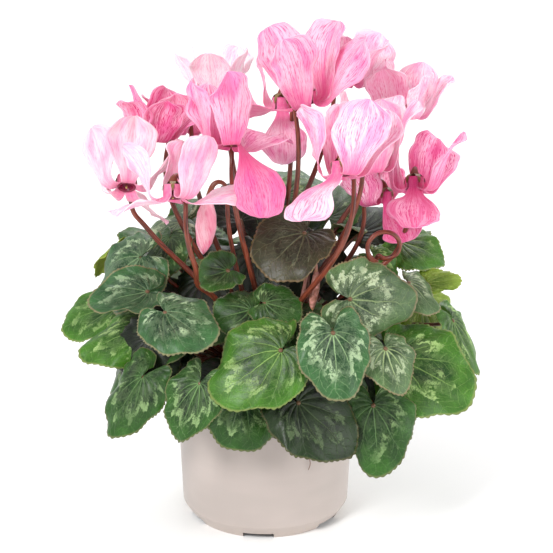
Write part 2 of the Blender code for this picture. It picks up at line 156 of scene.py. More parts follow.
# ---- pot, soil and tuber ----
POT_HEIGHT = 100.0
RIM_RADIUS = 60.0           # outside of the lip
LIP_HEIGHT = 9.0
LIP_WIDTH = 1.6             # how far the lip stands out from the wall
WALL = 1.6
SHOULDER_RADIUS = 54.8      # where the tapered wall turns in to the foot
SHOULDER_HEIGHT = 9.0
FOOT_RADIUS = 49.0
FOOT_WIDTH = 6.0
FLOOR_LIFT = 4.0            # the raised floor between the foot ring and the middle pad
PAD_RADIUS = 28.0
NOTCHES = 6
NOTCH_WIDTH = 20.0
NOTCH_DEPTH = 16.0
NOTCH_HEIGHT = 3.6
NOTCH_CENTRE = 47.0         # distance of each notch from the pot's axis

SOIL_TOP = 84.0
SOIL_EDGE = 80.0
TUBER_RADIUS = 27.0
TUBER_HALF_HEIGHT = 14.0
TUBER_CENTRE = 82.0
CROWN_SPACING = 2.8         # spread of the sunflower spiral that the stems stand on

# ---- stems, leaves and flowers ----
PETIOLE_RADIUS = 1.35       # the radius that each stem keeps clear as it makes room
STALK_RADIUS = 1.7
MOUTH_RADIUS = 5.5
TUBE_LENGTH = 7.0
PETAL_TURN = 12.0           # length of petal, from the mouth, over which it turns back
PETAL_TWIST = math.radians(28)      # about a petal's own midline; each petal takes its own share
MOUTH_ANGLE = 25.0          # how far a petal has turned where it leaves the mouth
PETAL_STEP = 72             # degrees from one petal to the next
FLARE = 26.0                # degrees by which a petal's tip falls short of its full turn back
WIDEST = 0.68               # how far along it a petal is widest
# The bent top of a flower stalk and of a bud's stalk: distances out from the middle, and up.
STALK_HOOK = [(12.5, -9), (12.5, -1), (11.5, 6), (9.0, 11), (5.5, 13.5), (2.4, 13.2), (0.5, 11.2), (0, 8)]
# The top of a stalk that meets a leaning flower from behind: distances along its axis, and upright.
REAR_HOOK = [(21, -15), (20.5, -8), (19.5, -2.5), (17.5, 1), (15, 2), (12.5, 1.5), (10, 0.6), (8, 0)]
REAR_LEAN = 40.0            # a flower that leans more than this is met from behind
BUD_HOOK = [(-5, -14), (-5, -6), (-3, -1.5), (0.5, 0), (4, -2), (6, -7), (7, -11)]
BUD_LINE = [0.2, 0.5, 0.8, 1.0]     # shares of a bud's length at which the line down its middle is marked
SINUS = math.radians(160)   # half the angle that the blade spans about its petiole
ARCH_SPAN = 0.65            # half the width of a leaf of length one, over which it arches
STALK_PULL = 0.30           # how long a stalk and a petiole hold the direction of their top end
PETIOLE_PULL = 0.2
STEM_MARGIN = 1.4           # room kept between two stems
BLADE_MARGIN = 2.4          # room kept between a stem and the middle of a blade or petal
NEARBY = 10.0               # blades and petals further away than this are left out
ROUNDS = 90                 # how many times the stems push one another aside
SMOOTHINGS = 6              # how many times each push is spread along its stem
STRIDE = 1.5                # how far a stem follows its push
SWAP_ROUNDS = 12            # rounds in which stems may swap their places on the crown
ROUTE_POINTS = 33           # places along each stem while the stems make room for one another

# Each leaf: x, y, z of the point where the petiole meets the blade; heading, droop and roll of the
# midrib; length from there to the tip; width factor; bend along the midrib; arch across it.
LEAVES = [
    (25, -30, 203, -137, 22, -28, 40, 1.05, 25, -25),
    (53, -60, 170, 8, 10, 80, 46, 1.00, 30, 35),
    (42, -84, 157, -78, 58, 0, 42, 0.95, 15, 10),
    (10, -85, 146, -158, 26, -40, 52, 0.95, 20, 25),
    (-61, -75, 167, -35, 14, 25, 37, 1.12, 20, 25),
    (-23, -44, 183, -148, 5, -45, 24, 1.00, -20, -40),
    (-9, -48, 158, -165, 8, -45, 25, 1.10, 10, 10),
    (0, -49, 163, -10, 8, 45, 25, 1.05, 10, 10),
    (-79, -9, 179, 178, 30, -35, 46, 1.10, 35, 30),
    (-74, -36, 166, -165, 5, -30, 38, 0.85, 10, -60),
    (-75, -22, 139, -165, 20, -28, 48, 0.85, 15, 25),
    (-76, -63, 119, -165, 52, -30, 44, 0.85, 15, 30),
    (-40, -83, 123, -145, 58, -30, 38, 0.85, 10, 15),
    (-13, -75, 112, -65, 62, 0, 37, 1.30, 10, 20),
    (21, -83, 110, -12, 38, 42, 48, 1.00, 10, 10),
    (68, -71, 103, -78, 68, 25, 45, 1.00, 10, 60),
    (86, -44, 123, -15, 22, 48, 53, 1.00, 10, 10),
    (75, -70, 141, -60, 48, 0, 30, 1.05, 10, 10),
    (92, -17, 165, -35, 30, 10, 27, 1.05, 25, 25),
    (122, -4, 134, -20, 55, 0, 38, 0.95, 15, 25),
    (88, 17, 181, -10, 8, 25, 33, 1.05, 30, 25),
    (-56, 38, 187, 170, 25, -20, 40, 1.10, 25, 20),
    (24, 48, 200, 110, -25, 10, 42, 1.00, 20, 10),
    (60, 66, 150, 50, 40, 0, 50, 1.05, 25, 20),
    (0, 84, 135, 90, 50, 0, 54, 1.05, 20, 20),
    (-58, 68, 145, 135, 42, 0, 52, 1.05, 25, 20),
    (-98, 22, 135, -178, 14, -20, 42, 1.00, 20, 25),
]

# Each flower: x, y, z of the mouth; lean of its axis and the side it leans to; side that its stalk
# comes up on; petal length and width; how far each petal turns back, 0 hanging and 180 upright.
FLOWERS = [
    (-86, -31, 234, 50, 90, 40, 46, 28, (112, 156, 168, 166, 152)),
    (-72, 19, 253, 10, 0, -30, 37, 26, (165, 172, 172, 168, 176)),
    (-54, 44, 248, 10, 90, -60, 37, 25, (172, 168, 170, 168, 172)),
    (-55, -76, 242, 28, 90, 58, 46, 28, (174, 166, 84, 166, 112)),
    (-34, 89, 263, 10, 120, -60, 38, 24, (165, 172, 168, 168, 168)),
    (-20, -56, 269, 28, 90, 90, 49, 32, (174, 172, 168, 28, 126)),
    (11, 40, 265, 10, 90, -60, 42, 27, (164, 172, 166, 116, 50)),
    (27, 11, 277, 8, 180, 228, 58, 31, (174, 152, 170, 175, 104)),
    (55, 60, 276, 8, 60, -140, 42, 28, (174, 172, 172, 174, 172)),
    (91, 44, 260, 10, 20, 110, 40, 28, (175, 168, 172, 165, 172)),
    (66, -26, 245, 8, 60, 108, 54, 32, (176, 174, 174, 176, 172)),
    (95, -4, 224, 28, 90, 80, 50, 32, (172, 170, 60, 156, 170)),
    (46, -87, 260, 28, 90, 55, 53, 33, (176, 172, 62, 166, 168)),
    (77, 25, 206, 10, 90, -175, 34, 24, (168, 65, 165, 168, 166)),
]

# Each bud: x, y, z of the top of its hook; side that the bud hangs on; bud length and radius.
BUDS = [
    (-28, -40, 240, 190, 36, 6.0),
]
print(len(LEAVES), "leaves,", len(FLOWERS), "flowers,", len(BUDS), "bud")

# %% [markdown]
# ## Where the stems run
# Every stem starts on the tuber's crown and ends under its leaf or flower. A straight line between the
# two would run through its neighbours, so the stems start as smooth curves and then push one another
# aside, a little at a time, until each has room, as in the measured model.

# %% Directions and the shape of a leaf
def unit(vector):
    return vector / np.linalg.norm(vector)


def sheet_grid(down, across):
    """The two coordinates of every point of a grid."""
    return np.meshgrid(down, across, indexing="ij")


def compass(azimuth):
    """Level unit vector towards an azimuth in degrees."""
    a = math.radians(azimuth)
    return np.array([math.cos(a), math.sin(a), 0.0])


def leaf_frame(heading, droop, roll):
    """Directions along the midrib, to the blade's left side, and out of its upper face."""
    d, r = math.radians(droop), math.radians(roll)
    along = compass(heading) * math.cos(d) - np.array([0, 0, math.sin(d)])
    side = compass(heading + 90)
    up = np.cross(along, side)
    return along, side * math.cos(r) + up * math.sin(r), up * math.cos(r) - side * math.sin(r)


def leaf_outline(theta):
    """Distance from the petiole to the margin of a leaf of length one; theta is 0 at the tip."""
    t = np.abs(theta)
    body = 0.61 + 0.175 * np.cos(t) + 0.05 * np.cos(2 * t)
    tip = 0.165 * np.exp(-(t / math.radians(28)) ** 2)
    lobe = np.clip((t - math.radians(116)) / math.radians(46), 0, 1)
    return (body + tip) * np.sqrt(1 - lobe ** 4)


def bend_line(distance, turn):
    """Points at a distance along a line bent evenly by `turn` radians a unit, and its normals."""
    angle = distance * turn
    return np.sin(angle) / turn, (np.cos(angle) - 1) / turn, np.sin(angle), np.cos(angle)


def blade_points(leaf, theta, rho):
    """Places on a blade: theta about the petiole, rho from the petiole (0) to the margin (1)."""
    x, y, z, heading, droop, roll, length, width, bend, arch = leaf
    reach = rho * leaf_outline(theta)
    across, sag, _, _ = bend_line(reach * np.sin(theta) * width, math.radians(arch) / ARCH_SPAN)
    line_x, line_z, normal_x, normal_z = bend_line(reach * np.cos(theta), math.radians(bend))
    local = np.stack([line_x + sag * normal_x, across, line_z + sag * normal_z], -1) * length
    return np.array([x, y, z]) + local @ np.array(leaf_frame(heading, droop, roll))
print("a blade spans", round(math.degrees(2 * SINUS)), "degrees about its petiole")

# %% The shape of a flower
def flower_frame(flower):
    """Axis of a flower, from its mouth to its calyx, and two directions across it."""
    lean, lean_side, stalk_side = flower[3:6]
    tilt = math.radians(lean)
    axis = compass(lean_side) * math.sin(tilt) + np.array([0, 0, math.cos(tilt)])
    out = compass(stalk_side)
    out = unit(out - axis * out.dot(axis))
    return axis, out, np.cross(axis, out)


def petal_points(flower, petal, u, v):
    """Places on a petal: u runs from the tube's top (-1) over the mouth (0) to the tip (1), v across."""
    length, width = flower[6:8]
    axis, front, left = flower_frame(flower)
    uneven = 9 * math.sin(3 * petal + flower[1])
    azimuth = math.radians(PETAL_STEP * (petal + 0.5) + uneven)

    steps = np.linspace(0, 1, 61)
    turned = np.clip(steps * length / PETAL_TURN, 0, 1) ** 0.8
    angle = np.radians(MOUTH_ANGLE + (flower[8][petal] - MOUTH_ANGLE) * turned - FLARE * steps ** 2)
    step = length / 60
    radius = MOUTH_RADIUS + np.concatenate([[0], np.cumsum(np.sin(angle[1:]) * step)])
    height = np.concatenate([[0], np.cumsum(-np.cos(angle[1:]) * step)])

    along = np.clip(u, 0, 1)
    r, h, a = (np.interp(along, steps, values)[..., None] for values in (radius, height, angle))
    widen = np.clip(along / WIDEST, 0, 1)
    half = width / 2 * (0.27 + 0.73 * widen * widen * (3 - 2 * widen))
    half = half * np.sqrt(1 - 0.98 * np.clip((along - WIDEST) / (1 - WIDEST), 0, 1) ** 2.8)
    own_twist = PETAL_TWIST * (0.8 + 1.1 * math.sin(5 * petal + flower[0]))
    twist = own_twist * np.clip(along / 0.5, 0, 1)[..., None]

    out = math.cos(azimuth) * front + math.sin(azimuth) * left
    side = -math.sin(azimuth) * front + math.cos(azimuth) * left
    normal = np.cos(a) * out + np.sin(a) * axis
    across = np.cos(twist) * side + np.sin(twist) * normal
    blade = r * out + h * axis + (v * half)[..., None] * across

    turn = (azimuth + v * math.radians(36))[..., None]
    tube = (MOUTH_RADIUS + 0.6) * (np.cos(turn) * front + np.sin(turn) * left)
    tube = tube + np.clip(-u, 0, 1)[..., None] * TUBE_LENGTH * axis
    return np.array(flower[:3]) + np.where((u <= 0)[..., None], tube, blade)
print("a flower has five petals, one every 72 degrees")

# %% Stems that make room for one another
def crown_height(radius):
    """Height of the tuber's top at a distance from the pot's axis."""
    return TUBER_CENTRE + TUBER_HALF_HEIGHT * np.sqrt(1 - (radius / TUBER_RADIUS) ** 2)


def crown_places(ends):
    """Starting places on the crown, a sunflower spiral, shared out so that the stems do not cross."""
    index = np.arange(len(ends))
    radius = CROWN_SPACING * np.sqrt(index + 0.5)
    turn = index * math.radians(137.5)
    places = np.stack([radius * np.cos(turn), radius * np.sin(turn), crown_height(radius) + GAP], axis=1)
    level = np.array([end[:2] for end in ends])
    reach = np.linalg.norm(places[:, None, :2] - level[None], axis=2)
    taken = list(index)
    inner = len(FLOWERS) + len(BUDS)        # flower and bud stalks stand in the middle of the crown
    groups = [range(inner), range(inner, len(ends))]
    for _ in range(SWAP_ROUNDS):
        for group in groups:
            for a, b in itertools.combinations(group, 2):
                if reach[taken[a], b] + reach[taken[b], a] < reach[taken[a], a] + reach[taken[b], b]:
                    taken[a], taken[b] = taken[b], taken[a]
    return places[taken]


def bezier(start, start_pull, end_pull, end, count):
    t = np.linspace(0, 1, count)[:, None]
    early = (1 - t) ** 3 * start + 3 * t * (1 - t) ** 2 * start_pull
    return early + 3 * t * t * (1 - t) * end_pull + t ** 3 * end


def hook(flower):
    """The bent top of a flower stalk: up past the mouth between two petals, and over to the calyx."""
    axis, out, _ = flower_frame(flower)
    mouth = np.array(flower[:3])
    if flower[3] > REAR_LEAN:
        return np.array([mouth + h * axis + [0, 0, up] for h, up in REAR_HOOK])
    return np.array([mouth + r * out + h * axis for r, h in STALK_HOOK])


def bud_hook(bud):
    """The bent top of a bud's stalk and the line down the middle of the hanging bud."""
    x, y, z, side, length, _ = bud
    out = compass(side)
    end_out, end_up = BUD_HOOK[-1]
    places = BUD_HOOK + [(end_out + 0.1 * length * t, end_up - length * t) for t in BUD_LINE]
    return np.array([np.array([x, y, z + h]) + r * out for r, h in places])


def gaps_between(points, others):
    """Distance from every point to every other, by the cosine rule."""
    squared = (points ** 2).sum(1)[:, None] + (others ** 2).sum(1)[None] - 2 * points @ others.T
    return np.sqrt(np.maximum(squared, 1e-4))


def make_room(routes, radii, obstacles):
    """Push each stem away from the other stems and from the blades and petals, and keep it smooth."""
    count = routes.shape[1]
    routes, obstacles = routes.astype(np.float32), obstacles.astype(np.float32)
    owner = np.repeat(np.arange(len(routes)), count)
    reach = np.repeat(radii, count)
    near = reach[:, None] + reach[None, :] + STEM_MARGIN
    near[owner[:, None] == owner[None, :]] = 0
    for turn in range(ROUNDS):
        points = routes.reshape(-1, 3)
        if turn % 10 == 0:
            close = obstacles[gaps_between(points, obstacles).min(0) < NEARBY]
        push = np.zeros_like(points)
        for others, limit in ((points, near), (close, reach[:, None] + BLADE_MARGIN)):
            gap = gaps_between(points, others)
            share = np.clip(limit - gap, 0, None) / gap * 0.5
            push += points * share.sum(1)[:, None] - share @ others
        push = push.reshape(routes.shape)
        push[:, :2] = 0
        push[:, -2:] = 0
        for _ in range(SMOOTHINGS):
            push[:, 1:-1] = (push[:, :-2] + 2 * push[:, 1:-1] + push[:, 2:]) / 4
        routes = routes + STRIDE * push
    return routes


def grow_stems():
    """Routes of all stems: flower stalks, bud stalks, then petioles."""
    hooks = [hook(flower) for flower in FLOWERS] + [bud_hook(bud) for bud in BUDS]
    ends = [top[0] for top in hooks]
    pulls = [STALK_PULL * unit(top[1] - top[0]) for top in hooks]
    for leaf in LEAVES:
        along, _, up = leaf_frame(*leaf[3:6])
        ends.append(np.array(leaf[:3], float) - 0.2 * up)
        pulls.append(PETIOLE_PULL * unit(0.4 * along + 0.7 * up + [0, 0, 0.5]))
    routes = []
    for place, end, pull in zip(crown_places(ends), ends, pulls):
        span = np.linalg.norm(end - place)
        rise = np.array([place[0] / 40, place[1] / 40, 1.0])
        routes.append(bezier(place, place + 0.4 * span * rise, end - span * pull, end, ROUTE_POINTS))
    radii = np.array([STALK_RADIUS] * len(hooks) + [PETIOLE_RADIUS] * len(LEAVES))

    theta, rho = sheet_grid(np.linspace(-SINUS, SINUS, 25), np.linspace(0.25, 1, 6))
    u, v = sheet_grid(np.linspace(0, 1, 12), np.linspace(-1, 1, 5))
    rim_top = np.array([0, 0, POT_HEIGHT - 1])
    rim = [compass(azimuth) * (RIM_RADIUS - 1) + rim_top for azimuth in range(0, 360, 4)]
    obstacles = [blade_points(leaf, theta, rho).reshape(-1, 3) for leaf in LEAVES]
    obstacles += [petal_points(f, k, u, v).reshape(-1, 3) for f in FLOWERS for k in range(5)]
    routes = make_room(np.array(routes), radii, np.concatenate(obstacles + [np.array(rim)]))
    stalks = [np.concatenate([route[:-1], top]) for route, top in zip(routes, hooks)]
    return stalks[:len(FLOWERS)], stalks[len(FLOWERS):], list(routes[len(hooks):])
stalk_routes, bud_routes, petiole_routes = grow_stems()
print("grew", len(stalk_routes + bud_routes), "flower and bud stalks and", len(petiole_routes), "petioles")

# %% [markdown]
# ## Small tools for finishes
# A finish is a net of nodes. A small class keeps those nets readable: a wire stands for one value in the net,
# and adding or multiplying wires adds the nodes that do the sum. Colours are given as screen colours
# and turned into the scene's linear light, because a screen colour is already brightened by its gamma.

# %% Helpers for finishes
def paint(red, green, blue):
    """A screen colour, each part 0 to 255, as linear light."""
    return (*((part / 255) ** 2.2 for part in (red, green, blue)), 1.0)


class Wire:
    """One value in a net of nodes. Arithmetic on wires adds the nodes that do the sum."""
    def __init__(self, tree, socket):
        self.tree, self.socket = tree, socket

    def __add__(self, other):
        return sum_of("ADD", self, other)

    def __sub__(self, other):
        return sum_of("SUBTRACT", self, other)

    def __mul__(self, other):
        return sum_of("MULTIPLY", self, other)

    def __truediv__(self, other):
        return sum_of("DIVIDE", self, other)

    def __abs__(self):
        return sum_of("ABSOLUTE", self)

    def __round__(self):
        return sum_of("ROUND", self)


def fill(socket, value):
    """Fill a socket: a wire is linked, a number or colour is set, and None leaves it as it is."""
    if isinstance(value, Wire):
        value.tree.links.new(value.socket, socket)
    elif value is not None:
        socket.default_value = value


def wire(kind, *values, out=0, **settings):
    """An output of a new node whose first sockets are filled with the values, one of them a wire."""
    tree = next(value.tree for value in values if isinstance(value, Wire))
    made = tree.nodes.new("ShaderNode" + kind)
    for setting, value in settings.items():
        setattr(made, setting, value)
    for socket, value in zip(made.inputs, values):
        fill(socket, value)
    return Wire(tree, made.outputs[out])


def sum_of(operation, *values):
    return wire("Math", *values, operation=operation)


def larger(first, second):
    return sum_of("MAXIMUM", first, second)


def clamp(value):
    """Keep a value between 0 and 1."""
    return wire("Clamp", value)


def fade(value, low, high, start=0.0, end=1.0):
    """A smooth step: start where value is at low, end where it is at high."""
    return wire("MapRange", value, low, high, start, end, interpolation_type="SMOOTHSTEP")


def mix(amount, first, second, way="MIX"):
    """The first colour where amount is 0, the second where it is 1; they fill sockets 6 and 7."""
    return wire("Mix", amount, *[None] * 5, first, second, out=2, data_type="RGBA", blend_type=way)


def noise(where, scale, detail=2.0, roughness=0.5, stretch=None):
    """Noise in space; giving the directions different scales stretches it into streaks."""
    if stretch:
        where = wire("VectorMath", where, stretch, operation="MULTIPLY")
    return wire("TexNoise", where, None, scale, detail, roughness, noise_dimensions="3D")


def parts(vector):
    """The three parts of a vector."""
    return [Wire(vector.tree, output) for output in wire("SeparateXYZ", vector).socket.node.outputs]


def note(tree, name, kind="Vector"):
    """A note that the mesh carries for each of its points."""
    made = tree.nodes.new("ShaderNodeAttribute")
    made.attribute_name = name
    return Wire(tree, made.outputs[kind])


def place_on(tree):
    """Where a point lies on its own piece."""
    return Wire(tree, tree.nodes.new("ShaderNodeTexCoord").outputs["Object"])


def new_finish(name):
    made = bpy.data.materials.new(name)
    made.use_nodes = True
    return made, made.node_tree


def dress(made, colour, roughness, bump=None, scatter=(None, None, None), specular=None, sheen=None):
    """Fill a finish's shader. A bump is height, strength, distance; a scatter is weight, radius, scale."""
    skin = made.node_tree.nodes["Principled BSDF"].inputs
    fill(skin["Base Color"], colour)
    fill(skin["Roughness"], roughness)
    if bump:
        relief = made.node_tree.nodes.new("ShaderNodeBump")
        for socket, value in zip(("Height", "Strength", "Distance"), bump):
            fill(relief.inputs[socket], value)
        fill(skin["Normal"], Wire(made.node_tree, relief.outputs["Normal"]))
    for part, value in zip(("Weight", "Radius", "Scale"), scatter):
        fill(skin["Subsurface " + part], value)
    fill(skin["Specular IOR Level"], specular)
    fill(skin["Sheen Weight"], sheen)
    return made


print("mid grey on a screen is", round(paint(128, 128, 128)[0], 3), "in linear light")

# %% [markdown]
# ## Small tools for shapes
# Leaves and petals are sheets: a grid of points laid over a curved surface. A mesh is made from such a
# grid by naming the corners of every cell. Each point also carries a note of where it lies on the flat
# leaf or petal, as an attribute, and the finishes draw veins and streaks from those notes.

# %% Helpers for shapes
def ring(sides):
    """The turns of points spaced evenly round a circle."""
    return np.linspace(0, FULL_TURN, sides, endpoint=False)


def circle(first, second, sides):
    """Points of a circle of radius one in the plane of two directions."""
    turn = ring(sides)
    return np.outer(np.cos(turn), first) + np.outer(np.sin(turn), second)


def cells(rows, columns, start=0, around=False, flip=False):
    """Corner numbers of every cell in a grid of points numbered row by row."""
    row, column = sheet_grid(np.arange(rows - 1), np.arange(columns - (not around)))
    here, there, after = row * columns, (row + 1) * columns, (column + 1) % columns
    corners = (here + column, here + after, there + after, there + column)
    made = np.stack([corner.ravel() for corner in corners], axis=1) + start
    return made[:, ::-1] if flip else made


def mesh_piece(name, points, faces, notes, finish, slot, *nodes):
    """A smooth-shaded mesh in millimetres that rides on the plant and stands for measured nodes."""
    mesh = bpy.data.meshes.new(name)
    mesh.from_pydata((np.asarray(points) * MM).tolist(), [], [list(face) for face in faces])
    for key, values in notes.items():
        kind, field = ("FLOAT_VECTOR", "vector") if np.ndim(values) == 2 else ("FLOAT", "value")
        layer = mesh.attributes.new(key, kind, "POINT")
        layer.data.foreach_set(field, np.ravel(values).astype(np.float32))
    mesh.materials.append(finish)
    mesh.shade_smooth()
    piece = bpy.data.objects.new(name, mesh)
    bpy.context.scene.collection.objects.link(piece)
    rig.ride(piece, "root")
    if nodes:
        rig.replaces(piece, *nodes)
    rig.slot(piece, slot)
    return piece


def surface_normals(grid):
    """Unit normals of a surface given as a grid of points."""
    down, across = np.gradient(grid, axis=0), np.gradient(grid, axis=1)
    normal = np.cross(down, across)
    return normal / (np.linalg.norm(normal, axis=-1, keepdims=True) + 1e-9)


def spread_line(points, count):
    """A smooth line through points (Catmull-Rom), read at evenly spaced places."""
    points = np.asarray(points, float)
    padded = np.concatenate([2 * points[:1] - points[1:2], points, 2 * points[-1:] - points[-2:-1]])
    place = np.linspace(0, len(points) - 1.000001, count)
    k = place.astype(int)
    t = (place - k)[:, None]
    a, b, c, d = (padded[k + step] for step in range(4))
    bow = (2 * a - 5 * b + 4 * c - d) * t ** 2 + (3 * b - a - 3 * c + d) * t ** 3
    return 0.5 * (2 * b + (c - a) * t + bow)


def read_off(table, count):
    """Values read at evenly spaced places from a table of {share of the way: value}."""
    return np.interp(np.linspace(0, 1, count), list(table), list(table.values()))


def stem_shape(points, radii, sides):
    """Points, faces and notes of a round stem with closed ends."""
    points = np.asarray(points, float)
    ahead = np.gradient(points, axis=0)
    ahead /= np.linalg.norm(ahead, axis=1, keepdims=True)
    side = np.cross(ahead[0], [0.3, 1.0, 0.1])
    rings = []
    for point, direction, radius in zip(points, ahead, radii):
        side = unit(side - direction * side.dot(direction))
        rings.append(point + radius * circle(side, np.cross(direction, side), sides))
    made = np.concatenate(rings + [points[:1], points[-1:]])
    faces = list(cells(len(points), sides, around=True))
    first, last, low = len(made) - 2, len(made) - 1, (len(points) - 1) * sides
    for k in range(sides):
        after = (k + 1) % sides
        faces += [(first, after, k), (last, low + k, low + after)]
    along = np.repeat(np.linspace(0, 1, len(points)), sides)
    around = np.tile(np.linspace(0, 1, sides, endpoint=False), len(points))
    notes = np.stack([along, around, np.zeros_like(along)], axis=1)
    return made, faces, np.concatenate([notes, [[0, 0, 0], [1, 0, 0]]])


def turned_points(profile, sides, centre=(0, 0, 0), across=(1, 0, 0), aside=(0, 1, 0), axis=(0, 0, 1)):
    """A profile of (radius, height) points swept round an axis."""
    return np.concatenate([np.array(centre) + h * np.array(axis) + r * circle(across, aside, sides)
                           for r, h in profile])


print("a grid of 3 by 4 points has", len(cells(3, 4)), "cells")

# %% [markdown]
# ## Marbled leaves
# A cyclamen leaf is dark green with a jagged silver band between its middle and its margin, pale veins
# that fan out from the petiole, and a finely toothed, slightly paler edge. The veins and the band follow
# the leaf's own growth, so they are drawn in the leaf's coordinates: the turn about the petiole, counted
# in veins, and the share of the way to the margin. One node group does the drawing and each leaf has
# its own colours and seed, so no two leaves match.

# %% A node group that draws a marbled leaf
VEIN_TURN = math.radians(36)        # turn from one main vein to the next
VEIN_BEND = 0.7                     # how strongly the veins curve towards the tip
BRANCH_STEP = 6.0                   # millimetres between side veins
MARBLING_SOCKETS = (
    ("INPUT", "Color", ("deep", "green", "silver", "vein", "edge", "under")),
    ("INPUT", "Float", ("marbling", "band", "band_width", "vein_strength")),
    ("OUTPUT", "Color", ("colour",)), ("OUTPUT", "Float", ("height", "roughness")),
)


def marbling_group():
    tree = bpy.data.node_groups.new("leaf_marbling", "ShaderNodeTree")
    for way, kind, names in MARBLING_SOCKETS:
        for name in names:
            tree.interface.new_socket(name, in_out=way, socket_type="NodeSocket" + kind)
    given = {socket.name: Wire(tree, socket) for socket in tree.nodes.new("NodeGroupInput").outputs}
    result = tree.nodes.new("NodeGroupOutput").inputs

    turn, rho, reach = parts(note(tree, "polar"))
    flat = note(tree, "flat")
    broad, patchy, fine = noise(flat, 0.07), noise(flat, 0.22, 3.0, 0.6), noise(flat, 0.9, 3.0, 0.6)

    # main veins: lines of equal turn that bend towards the tip and thin out
    bent = turn * (rho * VEIN_BEND + 1.0) + (broad - 0.5) * rho * 0.9
    number = round(bent)
    aside = abs(bent - number)
    rank = clamp(abs(number) * -0.24 + 1.12)
    main = fade(aside * (reach * VEIN_TURN) / (rho * -0.42 + 0.70), 0.35, 1.3, 1.0, 0.0)
    main = main * rank * fade(rho, 0.3, 0.9, 1.0, 0.35)

    # side veins: chevrons that leave each main vein towards the margin
    step = reach / BRANCH_STEP + aside * -2.3 + number * 0.37 + patchy * 0.8
    side = fade(abs(step - round(step)), 0.02, 0.085, 1.0, 0.0) * fade(rho, 0.15, 0.4)
    veins = larger(main, side * 0.3)

    # silver band: it reaches outwards along the veins and breaks up into flecks
    centre = given["band"] + aside * -0.5 + 0.125 + (patchy - 0.5) * 0.5
    band = fade(abs(rho - centre) / given["band_width"], 0.6, 1.05, 1.0, 0.0)
    arcs = fade(noise(flat, 0.052, 1.0), 0.40, 0.58, 0.06, 1.0)
    flecks = fade(fine * 0.5 + patchy, 0.66, 0.80)
    stray = flecks * fade(rho, 0.95, 0.5, 0.0, 0.16)
    silvered = clamp(larger(band * arcs * (flecks * 0.75 + 0.25), stray) * given["marbling"])

    # upper face: ground, silver, veins, fine specks and the pale edge
    shade = clamp((broad - 0.5) * 1.6 + 0.45 + fade(rho, 0.45, 0.95, -0.2, 0.35))
    colour = mix(silvered, mix(shade, given["deep"], given["green"]), given["silver"])
    colour = mix(veins * given["vein_strength"], colour, given["vein"])
    speck = fade(fine, 0.3, 0.7, 0.82, 1.12)
    colour = mix(1.0, colour, wire("CombineColor", speck, speck, speck), "MULTIPLY")
    colour = mix(fade(rho, 0.965, 1.0) * 0.6, colour, given["edge"])

    # underside: duller, with the veins standing out
    below = mix(veins * 0.5, given["under"], given["vein"])
    below = mix(fade(broad, 0.35, 0.65, 0.0, 0.35), below, given["green"])
    underside = note(tree, "underside", "Fac")
    fill(result["colour"], mix(underside, colour, below))
    fill(result["height"], veins * -0.5 + fine * 0.16)
    fill(result["roughness"], fine * 0.16 + 0.30 + underside * 0.2)
    return tree


leaf_marbling = marbling_group()
print("the marbling group has", len(leaf_marbling.nodes), "nodes")

# %% [markdown]
# Leaves of one plant share a family of colours but age and light change them: young leaves are bright,
# old ones are dull or bronze, some carry much more silver than others, and those inside stand in shade, which the two
# darkest moods paint into their colour as painted shade.
# A small table of moods covers that range. Each leaf names its mood and how strong its marbling is.

# %% Moods of leaf colour
# The two darkest moods are painted shade: darker colours for leaves low down and deep inside, where shade falls.
MOODS = {
    # deep, green, silver, vein, edge, under
    "leafy": ((19, 50, 17), (70, 116, 36), (168, 198, 124), (138, 174, 92), (136, 142, 84), (110, 132, 78)),
    "deep": ((16, 38, 15), (50, 89, 32), (154, 184, 124), (112, 148, 90), (118, 116, 80), (102, 120, 76)),
    "teal": ((20, 46, 28), (60, 99, 57), (170, 194, 152), (142, 172, 122), (146, 128, 98), (112, 126, 92)),
    "grey": ((35, 55, 34), (85, 112, 69), (186, 202, 162), (164, 184, 128), (146, 122, 92), (122, 130, 92)),
    "olive": ((32, 32, 22), (62, 60, 40), (130, 138, 110), (128, 130, 94), (124, 100, 70), (104, 96, 66)),
    # painted shade for leaves low in the plant
    "dim_painted_shade": ((12, 24, 10), (32, 50, 22), (104, 124, 86), (90, 106, 70), (90, 84, 56), (76, 78, 52)),
    # darker painted shade for leaves deep inside the plant
    "shade": ((6, 12, 6), (20, 32, 14), (66, 84, 54), (54, 68, 40), (60, 60, 38), (44, 50, 30)),
    "lime": ((74, 98, 26), (128, 152, 50), (186, 202, 112), (172, 188, 98), (162, 168, 80), (142, 154, 70)),
}
LEAF_BUMP = (0.55, 0.0014)                      # strength, metres
LEAF_SCATTER = (0.08, (0.6, 1.0, 0.3), 0.002)   # weight, reach of red, green and blue, scale


def leaf_finish(name, mood, marbling, band, width, veins):
    made, tree = new_finish(name)
    drawing = tree.nodes.new("ShaderNodeGroup")
    drawing.node_tree = leaf_marbling
    values = [paint(*colour) for colour in MOODS[mood]] + [marbling, band, width, veins]
    for socket, value in zip(drawing.inputs, values):
        fill(socket, value)
    colour, height, roughness = (Wire(tree, socket) for socket in drawing.outputs)
    return dress(made, colour, roughness, (height, *LEAF_BUMP), LEAF_SCATTER, specular=0.3)


print("moods:", ", ".join(MOODS))

# %% [markdown]
# The blade is two sheets, upper and lower, that meet in a row of fine teeth. Several things keep it from
# looking cut out of paper: soft cushions between the veins, waves that grow towards the margin, a rolled
# and uneven edge, and the bend of the whole blade. The cushions use the same bent turn as the painted
# veins, so relief and colour agree.

# %% Build a leaf blade
LEAF_THICKNESS = 0.7
TOOTH = 0.95                        # how far a tooth stands out
TOOTH_SHAPE = np.array([0.0, 0.55, 0.95, 1.0, 0.75, 0.3])
LEAF_GRID, YOUNG_GRID = (109, 20), (73, 12)     # columns about the petiole, rows out to the margin


